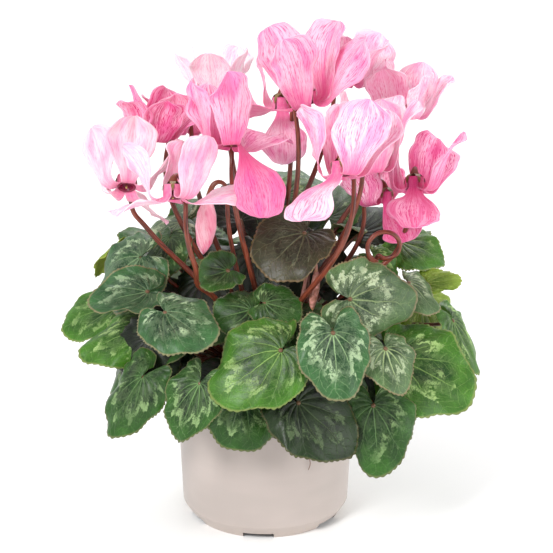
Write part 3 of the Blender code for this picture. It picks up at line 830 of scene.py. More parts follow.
def blade_relief(leaf, theta, rho, seed):
    """Height of the cushions and waves over the smooth blade, in millimetres."""
    shift = np.random.default_rng(seed).uniform(0, FULL_TURN, 6)
    x, y = rho * np.cos(theta), rho * np.sin(theta)
    veins = theta * (1 + VEIN_BEND * rho) / VEIN_TURN
    cushion = -0.42 * np.cos(veins * FULL_TURN) * rho * (1.15 - rho ** 3)
    wave = 2.4 * rho ** 3 * np.sin(3.4 * theta + shift[0]) + 1.5 * rho ** 5 * np.sin(8 * theta + shift[1])
    flutter = 0.6 * rho ** 8 * np.sin(17 * theta + shift[2])
    sway = 1.5 * np.sin(2.6 * x + shift[3]) * np.sin(2.9 * y + shift[4])
    dimple = 0.45 * np.sin(9 * x + 4 * y + shift[5]) * np.sin(8 * y - 3 * x + shift[0]) * rho
    rolled_edge = -1.1 * rho ** 7
    fold = 2.6 * np.abs(y) * np.clip(1.2 - rho, 0, 1)
    return leaf[6] / 45 * (cushion + wave + flutter + sway + dimple + rolled_edge + fold)


def uneven_margin(theta, seed):
    """Slow bulges along the margin, so that no leaf has a compass-drawn outline."""
    shift = np.random.default_rng(seed + 900).uniform(0, FULL_TURN, 3)
    return 0.985 + 0.03 * np.sin(5.5 * theta + shift[0]) + 0.018 * np.sin(11 * theta + shift[1])


def leaf_blade(name, leaf, seed, grid, finish, slot, *nodes):
    columns, rows = grid
    turns = np.linspace(-SINUS, SINUS, columns)
    theta, rho = sheet_grid(turns, np.linspace(0.03, 1, rows))
    smooth = blade_points(leaf, theta, rho * uneven_margin(theta, seed))
    normal = -surface_normals(smooth)
    top = smooth + normal * blade_relief(leaf, theta, rho, seed)[..., None]
    bottom = top - normal * (LEAF_THICKNESS * (1 - 0.6 * rho ** 6))[..., None]

    # the toothed rim: three points to a column and six to a tooth
    fine = np.linspace(-SINUS, SINUS, 3 * (columns - 1) + 1)
    sizes = np.random.default_rng(seed + 500).uniform(0.6, 1.2, (columns - 1) // 2)
    teeth = np.append(np.outer(sizes, TOOTH_SHAPE).ravel(), 0.0)
    out = 1 + TOOTH * teeth / (leaf[6] * np.maximum(leaf_outline(fine), 0.2))
    shift = (top[:, -1] + bottom[:, -1]) / 2 - smooth[:, -1]
    rim = blade_points(leaf, fine, out * uneven_margin(fine, seed))
    rim += np.stack([np.interp(fine, turns, part) for part in shift.T], axis=1)

    points = np.concatenate([top.reshape(-1, 3), bottom.reshape(-1, 3), rim])
    low, edge = columns * rows, 2 * columns * rows
    faces = [*cells(columns, rows), *cells(columns, rows, start=low, flip=True)]
    for k in range(columns - 1):
        foot, rise, top_point, fall = range(edge + 3 * k, edge + 3 * k + 4)
        for start, way in ((0, 1), (low, -1)):
            a, b = start + (k + 1) * rows - 1, start + (k + 2) * rows - 1
            fan = ((a, foot, rise), (a, rise, b), (b, rise, top_point), (b, top_point, fall))
            faces += [face[::way] for face in fan]
    for first, way in ((0, -1), ((columns - 1) * rows, 1)):
        faces += [(k, k + 1, low + k + 1, low + k)[::way] for k in range(first, first + rows - 1)]

    def on_all(sheet, margin):
        """One note for every point of the top, the bottom and the rim."""
        return np.concatenate([sheet.ravel(), sheet.ravel(), margin])

    turn, share = on_all(theta, fine), on_all(rho, out)
    reach = leaf[6] * on_all(rho * leaf_outline(theta), leaf_outline(fine) * out)
    own_place = np.full(len(points), seed * 31.7)           # moves each leaf to its own part of the noise
    notes = {"polar": np.stack([turn / VEIN_TURN, share, reach], axis=1),
             "flat": np.stack([reach * np.cos(turn), reach * np.sin(turn), own_place], axis=1),
             "underside": np.repeat([0.0, 1.0, 0.0], [low, low, len(rim)])}
    return mesh_piece(name, points, faces, notes, finish, slot, *nodes)


print("teeth on a leaf:", (LEAF_GRID[0] - 1) // 2)

# %% Leaves from their rows
# Each leaf's mood, strength of marbling, place and width of its silver band, and strength of its veins.
LEAF_LOOKS = [
    ("olive", 0.60, 0.50, 0.11, 0.45), ("grey", 0.85, 0.60, 0.15, 0.55), ("teal", 0.75, 0.60, 0.15, 0.85),
    ("leafy", 0.50, 0.62, 0.10, 0.60), ("teal", 0.80, 0.62, 0.12, 0.25), ("deep", 0.25, 0.60, 0.12, 0.30),
    ("deep", 0.50, 0.60, 0.12, 0.50), ("deep", 0.65, 0.60, 0.12, 0.50), ("teal", 0.80, 0.60, 0.12, 0.40),
    ("teal", 0.50, 0.60, 0.14, 0.40), ("leafy", 0.75, 0.60, 0.11, 0.55), ("deep", 0.60, 0.60, 0.11, 0.40),
    # the fifteenth leaf, low at the front, takes a dark mood as painted shade
    ("deep", 0.60, 0.66, 0.10, 0.80), ("deep", 0.65, 0.60, 0.10, 0.40), ("dim_painted_shade", 0.45, 0.58, 0.11, 0.35),
    ("deep", 0.40, 0.60, 0.10, 0.45), ("leafy", 0.70, 0.56, 0.11, 0.65), ("grey", 0.60, 0.60, 0.14, 0.80),
    ("grey", 0.60, 0.60, 0.14, 0.50), ("leafy", 0.70, 0.62, 0.12, 0.50), ("leafy", 0.60, 0.60, 0.12, 0.50),
    ("grey", 0.80, 0.60, 0.15, 0.40), ("teal", 0.60, 0.60, 0.14, 0.40), ("deep", 0.75, 0.64, 0.13, 0.50),
    ("deep", 0.80, 0.64, 0.13, 0.50), ("teal", 0.75, 0.64, 0.13, 0.50), ("leafy", 0.40, 0.62, 0.12, 0.45),
]
for number, (leaf, look) in enumerate(zip(LEAVES, LEAF_LOOKS), 1):
    node = f"leaf_{number:02d}"
    leaf_blade(node + "_blade", leaf, number, LEAF_GRID, leaf_finish(node, *look), node, node)
print("made", len(LEAVES), "blades")

# %% [markdown]
# ## Stems
# Petioles and flower stalks are round, smooth and red-brown, a little paler where the light comes
# through. A stem is one ring of points swept along its route. The route from the plan has few points, so
# it is first read off as a smooth line.

# %% Stem finish
STEM_SIDES = 14


def stem_finish(name, dark, light, top):
    """Dark and light streaks, and the colour of the stem's upper end."""
    made, tree = new_finish(name)
    along = note(tree, "along")
    streak = noise(along, 1.6, 3.0, 0.6, stretch=(9.0, 5.0, 1.0))
    colour = mix(fade(streak, 0.3, 0.7), paint(*dark), paint(*light))
    colour = mix(fade(parts(along)[0], 0.82, 1.0), colour, paint(*top))
    gloss = fade(streak, 0.2, 0.8, 0.28, 0.42)
    return dress(made, colour, gloss, scatter=(0.1, (1.0, 0.4, 0.2), 0.002))


def stem_piece(name, route, count, radii, finish, slot, *nodes):
    """A stem along a route, read at count places, with radii as {share of the way: radius}."""
    points, faces, along = stem_shape(spread_line(route, count), read_off(radii, count), STEM_SIDES)
    along[:, 2] = sum(ord(letter) for letter in name)       # each stem has its own streaks
    return mesh_piece(name, points, faces, {"along": along}, finish, slot, *nodes)


print("stems have", STEM_SIDES, "sides")

# %% Petioles
PETIOLE_RADII = {0: 1.7, 0.1: 1.45, 0.6: 1.2, 0.96: 1.15, 0.985: 1.5, 1: 0.7}
petiole_skin = stem_finish("petiole", (66, 32, 24), (118, 62, 44), (104, 78, 54))
for number, (leaf, route) in enumerate(zip(LEAVES, petiole_routes), 1):
    node = f"leaf_{number:02d}"
    end = route[-1] + 0.9 * leaf_frame(*leaf[3:6])[2]
    stem_piece(node + "_petiole", [*route, end], 60, PETIOLE_RADII, petiole_skin, node, node)
print("made", len(petiole_routes), "petioles")

# %% Flower stalks
STALK_RADII = {0: 2.3, 0.06: 1.95, 0.5: 1.7, 0.86: 1.45, 0.95: 1.5, 0.975: 2.3, 1: 3.5}
stalk_skin = stem_finish("flower_stalk", (72, 30, 22), (136, 66, 46), (112, 58, 38))
for number, route in enumerate(stalk_routes, 1):
    node = f"flower_stalk_{number:02d}"
    stem_piece(node + "_stem", route, 96, STALK_RADII, stalk_skin, node, node)
print("made", len(stalk_routes), "flower stalks")

# %% [markdown]
# ## Young and inner leaves
# The measured model holds the large leaves. A real plant also has small, folded and half-hidden ones that
# close the gaps between them, so they are added here in the same way: a row each, a short petiole, and the
# number of the measured leaf beside which they grow. Those deep inside take the darkest mood, which paints shade into
# their colour.

# %% Young and inner leaves
# Beside leaf, mood, then the row: petiole point, heading, droop, roll, length, width, bend, arch.
# Leaves of the shade mood sit deep inside the plant and are coloured dark as painted shade.
YOUNG_LEAVES = [
    (19, "lime", (104, 2, 158, -8, -8, 75, 24, 0.62, 35, 60)),
    (20, "lime", (104, 16, 138, -22, 62, 20, 42, 1.05, 30, 25)),
    (21, "leafy", (70, 2, 176, -40, 30, 30, 22, 0.95, 25, 30)),
    (22, "lime", (-96, 34, 172, 175, 38, 40, 26, 0.70, 30, 55)),
    (15, "deep", (48, -52, 124, -58, 62, 12, 30, 1.05, 15, 30)),
    (23, "leafy", (14, 40, 206, 60, -20, 20, 26, 0.80, 20, 40)),
    (24, "grey", (50, 36, 184, 20, 10, -30, 30, 0.85, 25, 35)),
    (1, "shade", (6, 2, 200, 95, -62, 12, 32, 0.62, 20, 70)),
    (7, "deep", (-22, -26, 150, -120, 20, 20, 30, 1.05, 15, 20)),
    (8, "deep", (22, -30, 148, -60, 25, 15, 32, 1.05, 15, 20)),
    (13, "shade", (-44, -52, 118, -120, 50, 0, 36, 1.05, 15, 20)),
    (14, "shade", (4, -58, 110, -90, 55, 10, 34, 1.10, 15, 20)),
    (11, "deep", (-48, -28, 134, -170, 30, 10, 36, 1.05, 15, 20)),
    (17, "deep", (60, -24, 130, -30, 40, 10, 38, 1.05, 15, 20)),
    (25, "teal", (28, 58, 160, 75, 18, 15, 36, 1.05, 20, 20)),
    (26, "leafy", (-28, 54, 166, 115, 14, -10, 38, 1.05, 20, 20)),
    (25, "deep", (34, 74, 112, 72, 62, 0, 40, 1.05, 15, 20)),
    (26, "leafy", (-30, 76, 110, 105, 64, 0, 40, 1.05, 15, 20)),
    (24, "deep", (76, 42, 116, 28, 60, 0, 42, 1.05, 15, 20)),
    (27, "deep", (-78, 46, 112, 152, 60, 0, 42, 1.05, 15, 20)),
    (22, "grey", (-38, 18, 170, 140, 12, 10, 30, 1.05, 20, 20)),
    (24, "teal", (54, 26, 160, 30, 16, 10, 34, 1.05, 20, 20)),
    (27, "deep", (-86, 2, 116, -175, 58, 0, 40, 1.05, 15, 20)),
    (20, "deep", (88, 4, 112, 5, 62, 0, 40, 1.05, 15, 20)),
    (23, "shade", (-16, 30, 192, 100, -35, 10, 34, 0.95, 20, 25)),
    (23, "deep", (42, 45, 188, 80, -30, -10, 38, 0.95, 20, 25)),
    (24, "shade", (62, 30, 182, 60, -30, -10, 36, 0.95, 20, 25)),
    (26, "deep", (-40, 46, 176, 110, -30, 10, 40, 0.95, 20, 25)),
    (24, "leafy", (84, 38, 168, 50, -20, -10, 34, 0.95, 20, 25)),
    (22, "deep", (-70, 34, 168, 130, -20, 10, 36, 0.95, 20, 25)),
    (1, "shade", (4, 20, 172, 90, -40, 0, 36, 0.95, 20, 25)),
    (7, "shade", (-24, 6, 160, 110, -35, 0, 34, 0.95, 20, 25)),
    (8, "shade", (34, 0, 160, 70, -35, 0, 36, 0.95, 20, 25)),
    (3, "shade", (56, -16, 152, 40, -30, 0, 36, 0.95, 20, 25)),
    (5, "shade", (-52, -16, 150, 140, -30, 0, 36, 0.95, 20, 25)),
    (6, "shade", (-40, -6, 162, -95, 40, 10, 34, 1.10, 15, 20)),
    (12, "shade", (-74, -38, 134, -110, 66, 0, 36, 1.10, 15, 20)),
    (16, "shade", (62, -46, 122, -80, 66, 0, 40, 1.10, 15, 20)),
    (22, "deep", (-62, 22, 182, -110, 30, 20, 32, 1.00, 20, 25)),
    (8, "shade", (22, -4, 186, -80, 55, -10, 34, 1.10, 15, 20)),
    (7, "shade", (-4, -12, 182, -100, 60, 0, 34, 1.10, 15, 20)),
]
CROWN_HEIGHT = 93
young_looks = {mood: leaf_finish("young_" + mood, mood, 0.55, 0.60, 0.13, 0.40)
               for mood in dict.fromkeys(row[1] for row in YOUNG_LEAVES)}
for number, (beside, mood, leaf) in enumerate(YOUNG_LEAVES, 1):
    name, node = f"young_leaf_{number:02d}", f"leaf_{beside:02d}"
    leaf_blade(name, leaf, 60 + number, YOUNG_GRID, young_looks[mood], node, node)
    end = np.array(leaf[:3], float) - 0.4 * leaf_frame(*leaf[3:6])[2]
    level, height = end * [1, 1, 0], end[2]
    root = 0.24 * level + [0, 0, CROWN_HEIGHT]
    pulls = root + 0.1 * level + [0, 0, 0.35 * (height - 90)], end - 0.25 * level - [0, 0, 6]
    route = bezier(root, *pulls, end, 24)
    stem_piece(name + "_petiole", route, 40, {0: 1.5, 1: 1.0}, petiole_skin, node, node)
print("added", len(YOUNG_LEAVES), "young and inner leaves")

# %% [markdown]
# Two signs of age make a plant look lived-in: a spent bud on a thin pale stalk, and a stalk that has
# dropped its flower and curled up like a spring, as cyclamen stalks do when they set seed. A stray root
# hangs over the lip of the pot.

# %% A spent bud, a curled stalk and a stray root
spent_skin = stem_finish("spent_tissue", (150, 96, 78), (214, 150, 140), (176, 128, 84))
route = [(12, -18, 95), (20, -30, 140), (27, -40, 182), (30, -44, 191), (32, -47, 188), (32, -48, 182)]
stem_piece("spent_bud_stalk", route, 70, {0: 1.3, 0.8: 0.9, 1: 1.3}, spent_skin, "bud_01", "bud_01")
route = [(32, -48, 184), (32, -48, 178), (31, -48, 170), (30, -48, 163), (30, -48, 158)]
swell = {0: 1.4, 0.15: 2.3, 0.4: 3.1, 0.7: 2.4, 0.9: 1.3, 1: 0.3}
stem_piece("spent_bud_body", route, 40, swell, spent_skin, "bud_01", "bud_01")

LOOP_RADIUS, LOOP_CENTRE = 8.5, (75, -30, 196)
loop = []
for a in -np.linspace(0.15 * math.pi, 2.35 * math.pi, 22)[2:]:
    reach = LOOP_RADIUS * (1 - 0.04 * a)
    loop.append(np.add(LOOP_CENTRE, (-reach * math.cos(a), 1.4 * a, reach * math.sin(a))))
route = [(16, -10, 95), (38, -18, 130), (60, -26, 164), (67, -30, 178)] + loop
swell = {0: 1.8, 0.5: 1.4, 0.9: 1.5, 1: 2.4}
stem_piece("curled_stalk", route, 130, swell, stalk_skin, "flower_stalk_12", "flower_stalk_12")

route = [(24, -43, 82), (27, -49, 97), (29, -53, 102), (30, -53, 96), (29, -52, 86), (28, -52, 74),
         (28, -51, 62), (29, -51, 54), (28, -50, 49)]
stem_piece("stray_root", route, 50, {0: 0.45, 1: 0.2}, petiole_skin, "tuber_skin", "tuber")
print("added the spent bud, the curled stalk and a stray root")

# %% [markdown]
# ## Petals
# A cyclamen petal is thin and satiny. It is deepest in colour at the mouth of the flower, pales towards
# its rounded tip, and carries fine lengthwise streaks. Light passes through it, so the shader scatters
# light below the surface. The streaks are noise stretched along the petal by giving the two directions of
# the petal's own coordinates different scales: long faint hairs, short dashes and, in strongly streaked
# flowers, broad bands. A few petals are flushed with the deep colour all over.

# %% Petal finish
def petal_finish(name, pale, pink, deep, streaks, heart):
    """Pale, middle and deep colours; how strong the streaks are; how far the deep heart reaches."""
    made, tree = new_finish(name)
    pale, pink, deep = paint(*pale), paint(*pink), paint(*deep)
    where = note(tree, "petal")
    along, aside, _ = parts(where)
    across = abs(aside)
    broad = noise(where, 1.0, stretch=(1.6, 6.5, 3.1))
    hair = noise(where, 1.0, 3.0, 0.65, stretch=(2.6, 26.0, 3.1))
    dash = noise(where, 1.0, 2.0, 0.6, stretch=(13.0, 24.0, 3.1))
    cloud = noise(where, 1.0, stretch=(2.2, 1.6, 3.1))

    thin = clamp(fade(hair * 0.6 + dash * 0.55, 0.54, 0.70) * (1.25 * streaks))
    bold = clamp(fade(broad, 0.48, 0.64) * (2.2 * max(streaks - 0.6, 0.0)))
    base = fade(hair * -0.16 + along, heart - 0.22, heart + 0.12, 1.0, 0.0) * 0.68
    midrib = fade(across, 0.0, 0.1, 0.22, 0.0)
    edge = fade(across, 0.8, 1.0) * 0.35
    flush = note(tree, "flush", "Fac") * fade(hair * 0.5 + cloud, 0.3, 0.95, 0.4, 1.0)

    colour = mix(fade(cloud, 0.34, 0.60), pink, pale)
    washes = ((larger(thin, bold), deep), (base, deep), (midrib, deep), (edge, pale), (flush, deep))
    for amount, shade in washes:
        colour = mix(amount, colour, shade)
    satin = fade(hair, 0.2, 0.8, 0.42, 0.6)
    scatter = (0.35, (1.0, 0.55, 0.6), 0.004)
    return dress(made, colour, satin, (hair, 0.35, 0.0006), scatter, specular=0.3, sheen=0.15)


print("petal finish ready")

# %% [markdown]
# The five petals of one flower are one piece. Each petal is a thin two-sided sheet with its own small
# differences: uneven edges, a hollow across it, a curl at the tip, and a ruffle that grows towards the edge.

# %% Build a flower's petals
PETAL_SHEET = 0.45
PETAL_COLUMNS = 23
FLUSHED = {6: (3, 0.6), 8: (4, 0.5), 11: (2, 0.4), 12: (2, 0.4), 14: (1, 0.6)}   # flower: petal, depth


def petal_relief(u, v, length, draw):
    """Height of the folds and ruffles over the smooth petal; v is scaled by how wide the petal is there."""
    shift = draw.uniform(0, FULL_TURN, 6)
    along, edge = np.clip(u, 0, 1), np.abs(v)
    own = np.where(v > 0, shift[0], shift[1])           # each edge has its own waves
    ruffle = 3.2 * edge ** 2 * np.sin(7.5 * along + own) * along
    frill = 1.2 * edge ** 3.5 * np.sin(19 * along + 2 * own) * along
    channel = draw.uniform(-3.0, 4.5) * edge ** 1.3 * np.sin(math.pi * along ** 1.4)
    twist = draw.uniform(-4.0, 4.0) * v * along ** 1.5
    pleats = draw.uniform(0.5, 1.1) * np.cos(draw.uniform(5, 9) * v + shift[2]) * along ** 1.5
    curl = draw.uniform(-2.5, 4.0) * along ** 3
    tip = 2.2 * along ** 6 * np.sin(3.5 * v + shift[3])
    sway = 1.0 * np.sin(4.2 * along + shift[4]) * along
    return length / 54 * (ruffle + frill + channel + twist + pleats + curl + tip + sway)


def petal_outline(u, v, draw):
    """Uneven widths, each edge with its own bulges, the largest near the tip."""
    shift = draw.uniform(0, FULL_TURN, 4)
    along = np.clip(u, 0, 1)
    slow = np.where(v > 0, np.sin(7 * along + shift[0]), np.sin(7 * along + shift[1]))
    quick = np.where(v > 0, np.sin(19 * along + shift[2]), np.sin(19 * along + shift[3]))
    return 1.04 + 0.15 * slow * along + 0.09 * quick * along ** 2


def corolla_piece(name, flower, seed, finish, slot, *nodes):
    u_line = np.concatenate([[-1, -0.6, -0.25], np.linspace(0.0, 1, 32) ** 0.9])
    rows, columns = len(u_line), PETAL_COLUMNS
    sheet = rows * columns
    u, v = sheet_grid(u_line, np.linspace(-1, 1, columns))
    border = [k * columns for k in range(rows)]                             # down one edge,
    border += [(rows - 1) * columns + k for k in range(1, columns)]         # round the tip
    border += [k * columns + columns - 1 for k in range(rows - 2, -1, -1)]  # and back up the other
    draw = np.random.default_rng(seed)
    flushed, depth = FLUSHED.get(seed, (0, 0.0))
    points, faces, notes = [], [], []
    for petal in range(5):
        grid = petal_points(flower, petal, u, v * petal_outline(u, v, draw))
        width = np.linalg.norm(grid[:, -1] - grid[:, 0], axis=-1)[:, None]
        aside = v * np.minimum(width / flower[7], 1.0)
        normal = surface_normals(grid)
        normal[u < 0.02] = 0
        relief = petal_relief(u, aside, flower[6], draw) * np.clip(u * 6, 0, 1)
        outer = grid + normal * relief[..., None]
        inner = outer - surface_normals(outer) * PETAL_SHEET
        points += [outer.reshape(-1, 3), inner.reshape(-1, 3)]
        start = 2 * sheet * petal
        faces += [*cells(rows, columns, start=start), *cells(rows, columns, start=start + sheet, flip=True)]
        for a, b in zip(border, border[1:]):
            faces.append((start + a, start + b, start + sheet + b, start + sheet + a))
        notes += 2 * [np.stack([u.ravel(), v.ravel(), np.full(u.size, seed * 2.3 + petal * 0.77)], axis=1)]
    flush = np.repeat([depth * (petal == flushed) for petal in range(5)], 2 * sheet)
    notes = {"petal": np.concatenate(notes), "flush": flush}
    return mesh_piece(name, np.concatenate(points), faces, notes, finish, slot, *nodes)


print("a petal sheet is", PETAL_SHEET, "mm thick")

# %% Petals for every flower
# Each flower's pale, middle and deep pinks, the strength of its streaks and the reach of its heart.
PINKS = [
    ((246, 202, 212), (240, 164, 188), (224, 66, 128), 0.30, 0.16),
    ((250, 176, 204), (240, 118, 170), (214, 30, 110), 0.90, 0.26),
    ((250, 188, 208), (244, 142, 184), (218, 56, 124), 0.65, 0.28),
    ((250, 208, 222), (246, 164, 196), (226, 66, 128), 0.35, 0.20),
    ((252, 228, 234), (248, 204, 220), (232, 120, 168), 0.45, 0.16),
    ((250, 182, 206), (242, 128, 176), (216, 44, 118), 0.65, 0.30),
    ((250, 192, 212), (242, 146, 186), (218, 56, 124), 0.50, 0.26),
    ((250, 192, 212), (244, 142, 184), (220, 56, 126), 0.65, 0.28),
    ((252, 214, 228), (246, 176, 204), (226, 84, 146), 0.55, 0.24),
    ((252, 216, 228), (247, 180, 206), (228, 90, 148), 0.60, 0.22),
    ((252, 222, 230), (247, 164, 198), (222, 62, 128), 0.50, 0.22),
    ((250, 180, 208), (242, 126, 174), (218, 44, 120), 0.90, 0.30),
    ((250, 202, 218), (246, 150, 190), (222, 54, 122), 0.60, 0.26),
    ((252, 200, 220), (242, 128, 176), (214, 36, 116), 0.90, 0.28),
]
for number, (flower, pinks) in enumerate(zip(FLOWERS, PINKS), 1):
    node = f"corolla_{number:02d}"
    corolla_piece(node + "_petals", flower, number, petal_finish(node, *pinks), node, node)
print("made", len(FLOWERS), "flowers of five petals")

# %% [markdown]
# ## Calyx, throat and bud
# Five small sepals hug the top of each flower's tube, and the open mouth below shows a dark ring with
# the tip of the style. The bud hangs from its own stalk, a spindle of furled petals wound round each other.

# %% Sepals and throats
SEPAL_HALF_THICKNESS = 0.3
THROAT_PROFILE = [                  # distance from the flower's axis, and height above its mouth
    (5.9, -0.2), (5.2, -0.9), (4.4, -0.5), (3.6, 1.2), (2.2, 3.4), (0.8, 3.6), (0.7, -0.6), (0.0, -1.4)]
THROAT_RINGS, THROAT_SIDES = 30, 24
THROAT_ROUND = 6.3                  # the angle, just over a full turn, that counts as once round the mouth
sepal_skin = stem_finish("sepal", (104, 74, 46), (140, 126, 72), (150, 96, 66))
throat_skin = stem_finish("throat", (96, 14, 44), (150, 26, 70), (188, 176, 96))


def sepal_points(flower, turn, u, v):
    """A pointed sepal that leaves the stalk, bends over the top of the tube and hangs down its side."""
    axis, front, left = flower_frame(flower)
    out = math.cos(turn) * front + math.sin(turn) * left
    side = -math.sin(turn) * front + math.cos(turn) * left
    r = (1.6 + 5.4 * np.sin(u * math.pi / 2))[..., None]
    h = (TUBE_LENGTH + 2.2 - 6.5 * u ** 1.6)[..., None]
    half = (2.0 * (1 - u ** 1.7) + 0.05)[..., None]
    return np.array(flower[:3]) + r * out + h * axis + v[..., None] * half * side


def calyx_piece(name, flower, slot, *nodes):
    rows, columns = 9, 5
    u, v = sheet_grid(np.linspace(0, 1, rows), np.linspace(-1, 1, columns))
    points, faces, notes = [], [], []
    for k in range(5):
        grid = sepal_points(flower, math.radians(PETAL_STEP * k), u, v)
        offset = SEPAL_HALF_THICKNESS * surface_normals(grid)
        for sheet, flip in ((grid + offset, False), (grid - offset, True)):
            faces += [*cells(rows, columns, start=sum(map(len, points)), flip=flip)]
            points.append(sheet.reshape(-1, 3))
            notes.append(np.stack([u.ravel(), v.ravel(), np.full(u.size, 3.0 * k)], axis=1))
    notes = {"along": np.concatenate(notes)}
    return mesh_piece(name, np.concatenate(points), faces, notes, sepal_skin, slot, *nodes)


def throat_piece(name, flower, slot, *nodes):
    """A turned lining: a dark ring round the mouth, the funnel inside it and the tip of the style."""
    axis, front, left = flower_frame(flower)
    line = spread_line(THROAT_PROFILE, THROAT_RINGS)
    points = turned_points(line, THROAT_SIDES, flower[:3], front, left, axis)
    along = np.repeat(np.linspace(0.3, 1.0, THROAT_RINGS), THROAT_SIDES)
    around = np.tile(ring(THROAT_SIDES) / THROAT_ROUND, THROAT_RINGS)
    notes = {"along": np.stack([along, around, np.zeros(len(points))], axis=1)}
    faces = cells(THROAT_RINGS, THROAT_SIDES, around=True)
    return mesh_piece(name, points, faces, notes, throat_skin, slot, *nodes)


for number, flower in enumerate(FLOWERS, 1):
    node = f"flower_stalk_{number:02d}"
    calyx_piece(node + "_calyx", flower, node, node)
    node = f"corolla_{number:02d}"
    throat_piece(node + "_throat", flower, node, node)
print("made", len(FLOWERS), "calyxes and throats")

# %% The bud
BUD_RINGS, BUD_SIDES = 44, 40
BUD_SHAPE = {0: 0.42, 0.08: 0.5, 0.3: 0.92, 0.5: 1.04, 0.75: 0.74, 0.93: 0.3, 1: 0.04}


def bud_piece(name, bud, route, finish, slot, *nodes):
    """A spindle round the last stretch of the bud's route, with five furled ridges wound about it."""
    line = spread_line(route[-5:], BUD_RINGS)
    points, faces, along = stem_shape(line, np.ones(BUD_RINGS), BUD_SIDES)
    centre = np.repeat(line, BUD_SIDES, axis=0)
    wound = (2.5 * ring(BUD_SIDES) + 4.2 * np.linspace(0, 1, BUD_RINGS)[:, None]).ravel()
    swell = np.repeat(bud[5] * read_off(BUD_SHAPE, BUD_RINGS), BUD_SIDES) * (1 + 0.10 * np.abs(np.sin(wound)))
    points[:-2] = centre + (points[:-2] - centre) * swell[:, None]
    across = along[:, 1] * 4 - 2 + along[:, 0] * 1.4
    notes = {"petal": np.stack([along[:, 0], across, np.full(len(points), 5.0)], axis=1)}
    return mesh_piece(name, points, faces, notes, finish, slot, *nodes)


bud_pink = petal_finish("bud_01", (250, 196, 208), (240, 130, 164), (222, 66, 110), 0.45, 0.0)
for number, (bud, route) in enumerate(zip(BUDS, bud_routes), 1):
    node = f"bud_{number:02d}"
    bud_piece(node + "_petals", bud, route, bud_pink, node, node)
    swell = {0: 1.9, 0.5: 1.5, 0.9: 1.3, 1: 2.0}
    stem_piece(node + "_stem", route[:-4], 90, swell, stalk_skin, node, node)
print("made the bud")

# %% [markdown]
# ## The pot
# The pot is a plain injection-moulded nursery pot: a thin tapered wall, a lip, a small chamfer into the
# foot and drainage notches through the foot ring. A turned profile makes the shape, cutters make the
# notches, and a narrow bevel puts a soft highlight on each moulded edge.

# %% Turn the pot
POT_SIDES = 160


def turned_piece(name, profile, sides, finish, slot, *nodes):
    """Sweep a profile of (radius, height) points round the vertical axis."""
    faces = cells(len(profile), sides, around=True)
    return mesh_piece(name, turned_points(profile, sides), faces, {}, finish, slot, *nodes)


def plastic_finish(name):
    """Warm light grey plastic: faint flow marks, a few scuffs low down, and a paler, warmer band near the foot."""
    made, tree = new_finish(name)
    where = place_on(tree)
    height = parts(where)[2]
    flow = noise(where, 1.0, stretch=(14, 14, 46))
    scuffs = noise(where, 1.0, 4.0, 0.7, stretch=(60, 60, 320))
    grain = noise(where, 900.0)
    marks = fade(scuffs, 0.66, 0.78) * fade(height, 0.09, 0.0, 0.05, 0.4)
    colour = mix(fade(flow, 0.3, 0.7), paint(175, 164, 158), paint(184, 172, 166))
    colour = mix(marks, colour, paint(196, 186, 178))
    # paler and warmer over the lowest 14 mm of the pot
    colour = mix(fade(height, 0.014, 0.0, 0.0, 0.35), colour, paint(186, 172, 160))
    gloss = fade(flow, 0.2, 0.8, 0.3, 0.42)
    bump = (grain + flow * 2.0, 0.12, 0.0002)
    return dress(made, colour, gloss, bump, scatter=(0.12, (1.0, 0.9, 0.8), 0.004))


taper = (RIM_RADIUS - LIP_WIDTH - SHOULDER_RADIUS) / (POT_HEIGHT - LIP_HEIGHT - SHOULDER_HEIGHT)
wall_top = SHOULDER_RADIUS + taper * (POT_HEIGHT - SHOULDER_HEIGHT)
foot_inside = FOOT_RADIUS - FOOT_WIDTH
pot_profile = [
    (0.01, WALL), (PAD_RADIUS - 1, WALL), (PAD_RADIUS + 1, FLOOR_LIFT + WALL),
    (foot_inside + 1, FLOOR_LIFT + WALL), (foot_inside + 2, WALL),
    (FOOT_RADIUS - 2, WALL), (SHOULDER_RADIUS - WALL, SHOULDER_HEIGHT),
    (wall_top - WALL, POT_HEIGHT), (RIM_RADIUS - 0.5, POT_HEIGHT), (RIM_RADIUS, POT_HEIGHT - 0.7),
    (RIM_RADIUS, POT_HEIGHT - LIP_HEIGHT), (RIM_RADIUS - LIP_WIDTH, POT_HEIGHT - LIP_HEIGHT - 0.4),
    (SHOULDER_RADIUS, SHOULDER_HEIGHT), (FOOT_RADIUS, 0), (foot_inside, 0), (foot_inside - 1, FLOOR_LIFT),
    (PAD_RADIUS + 2, FLOOR_LIFT), (PAD_RADIUS, 0), (0.01, 0),
]
pot = turned_piece("pot_body", pot_profile, POT_SIDES, plastic_finish("pot_plastic"), "pot_plastic", "pot")
print("pot", POT_HEIGHT, "mm tall,", 2 * RIM_RADIUS, "mm across its lip")

# %% Cut the drainage notches
FIRST_NOTCH = -95                   # degrees
EDGE_WIDTH, EDGE_ANGLE = 0.35, 30   # softened edges, and how sharp an edge has to be

cutters = []
for number in range(NOTCHES):
    azimuth = FIRST_NOTCH + 360 / NOTCHES * number
    bpy.ops.mesh.primitive_cube_add(size=1)
    cutter = bpy.context.object
    cutter.scale = (NOTCH_DEPTH * MM, NOTCH_WIDTH * MM, 2 * NOTCH_HEIGHT * MM)
    cutter.location = NOTCH_CENTRE * MM * compass(azimuth)
    cutter.rotation_euler = (0, 0, math.radians(azimuth))
    cut = pot.modifiers.new(f"Notch {number + 1}", "BOOLEAN")
    cut.operation = "DIFFERENCE"
    cut.object = cutter
    cutters.append(cutter)
bpy.context.view_layer.update()
pot.data = bpy.data.meshes.new_from_object(pot.evaluated_get(bpy.context.evaluated_depsgraph_get()))
pot.modifiers.clear()
for cutter in cutters:
    bpy.data.objects.remove(cutter, do_unlink=True)

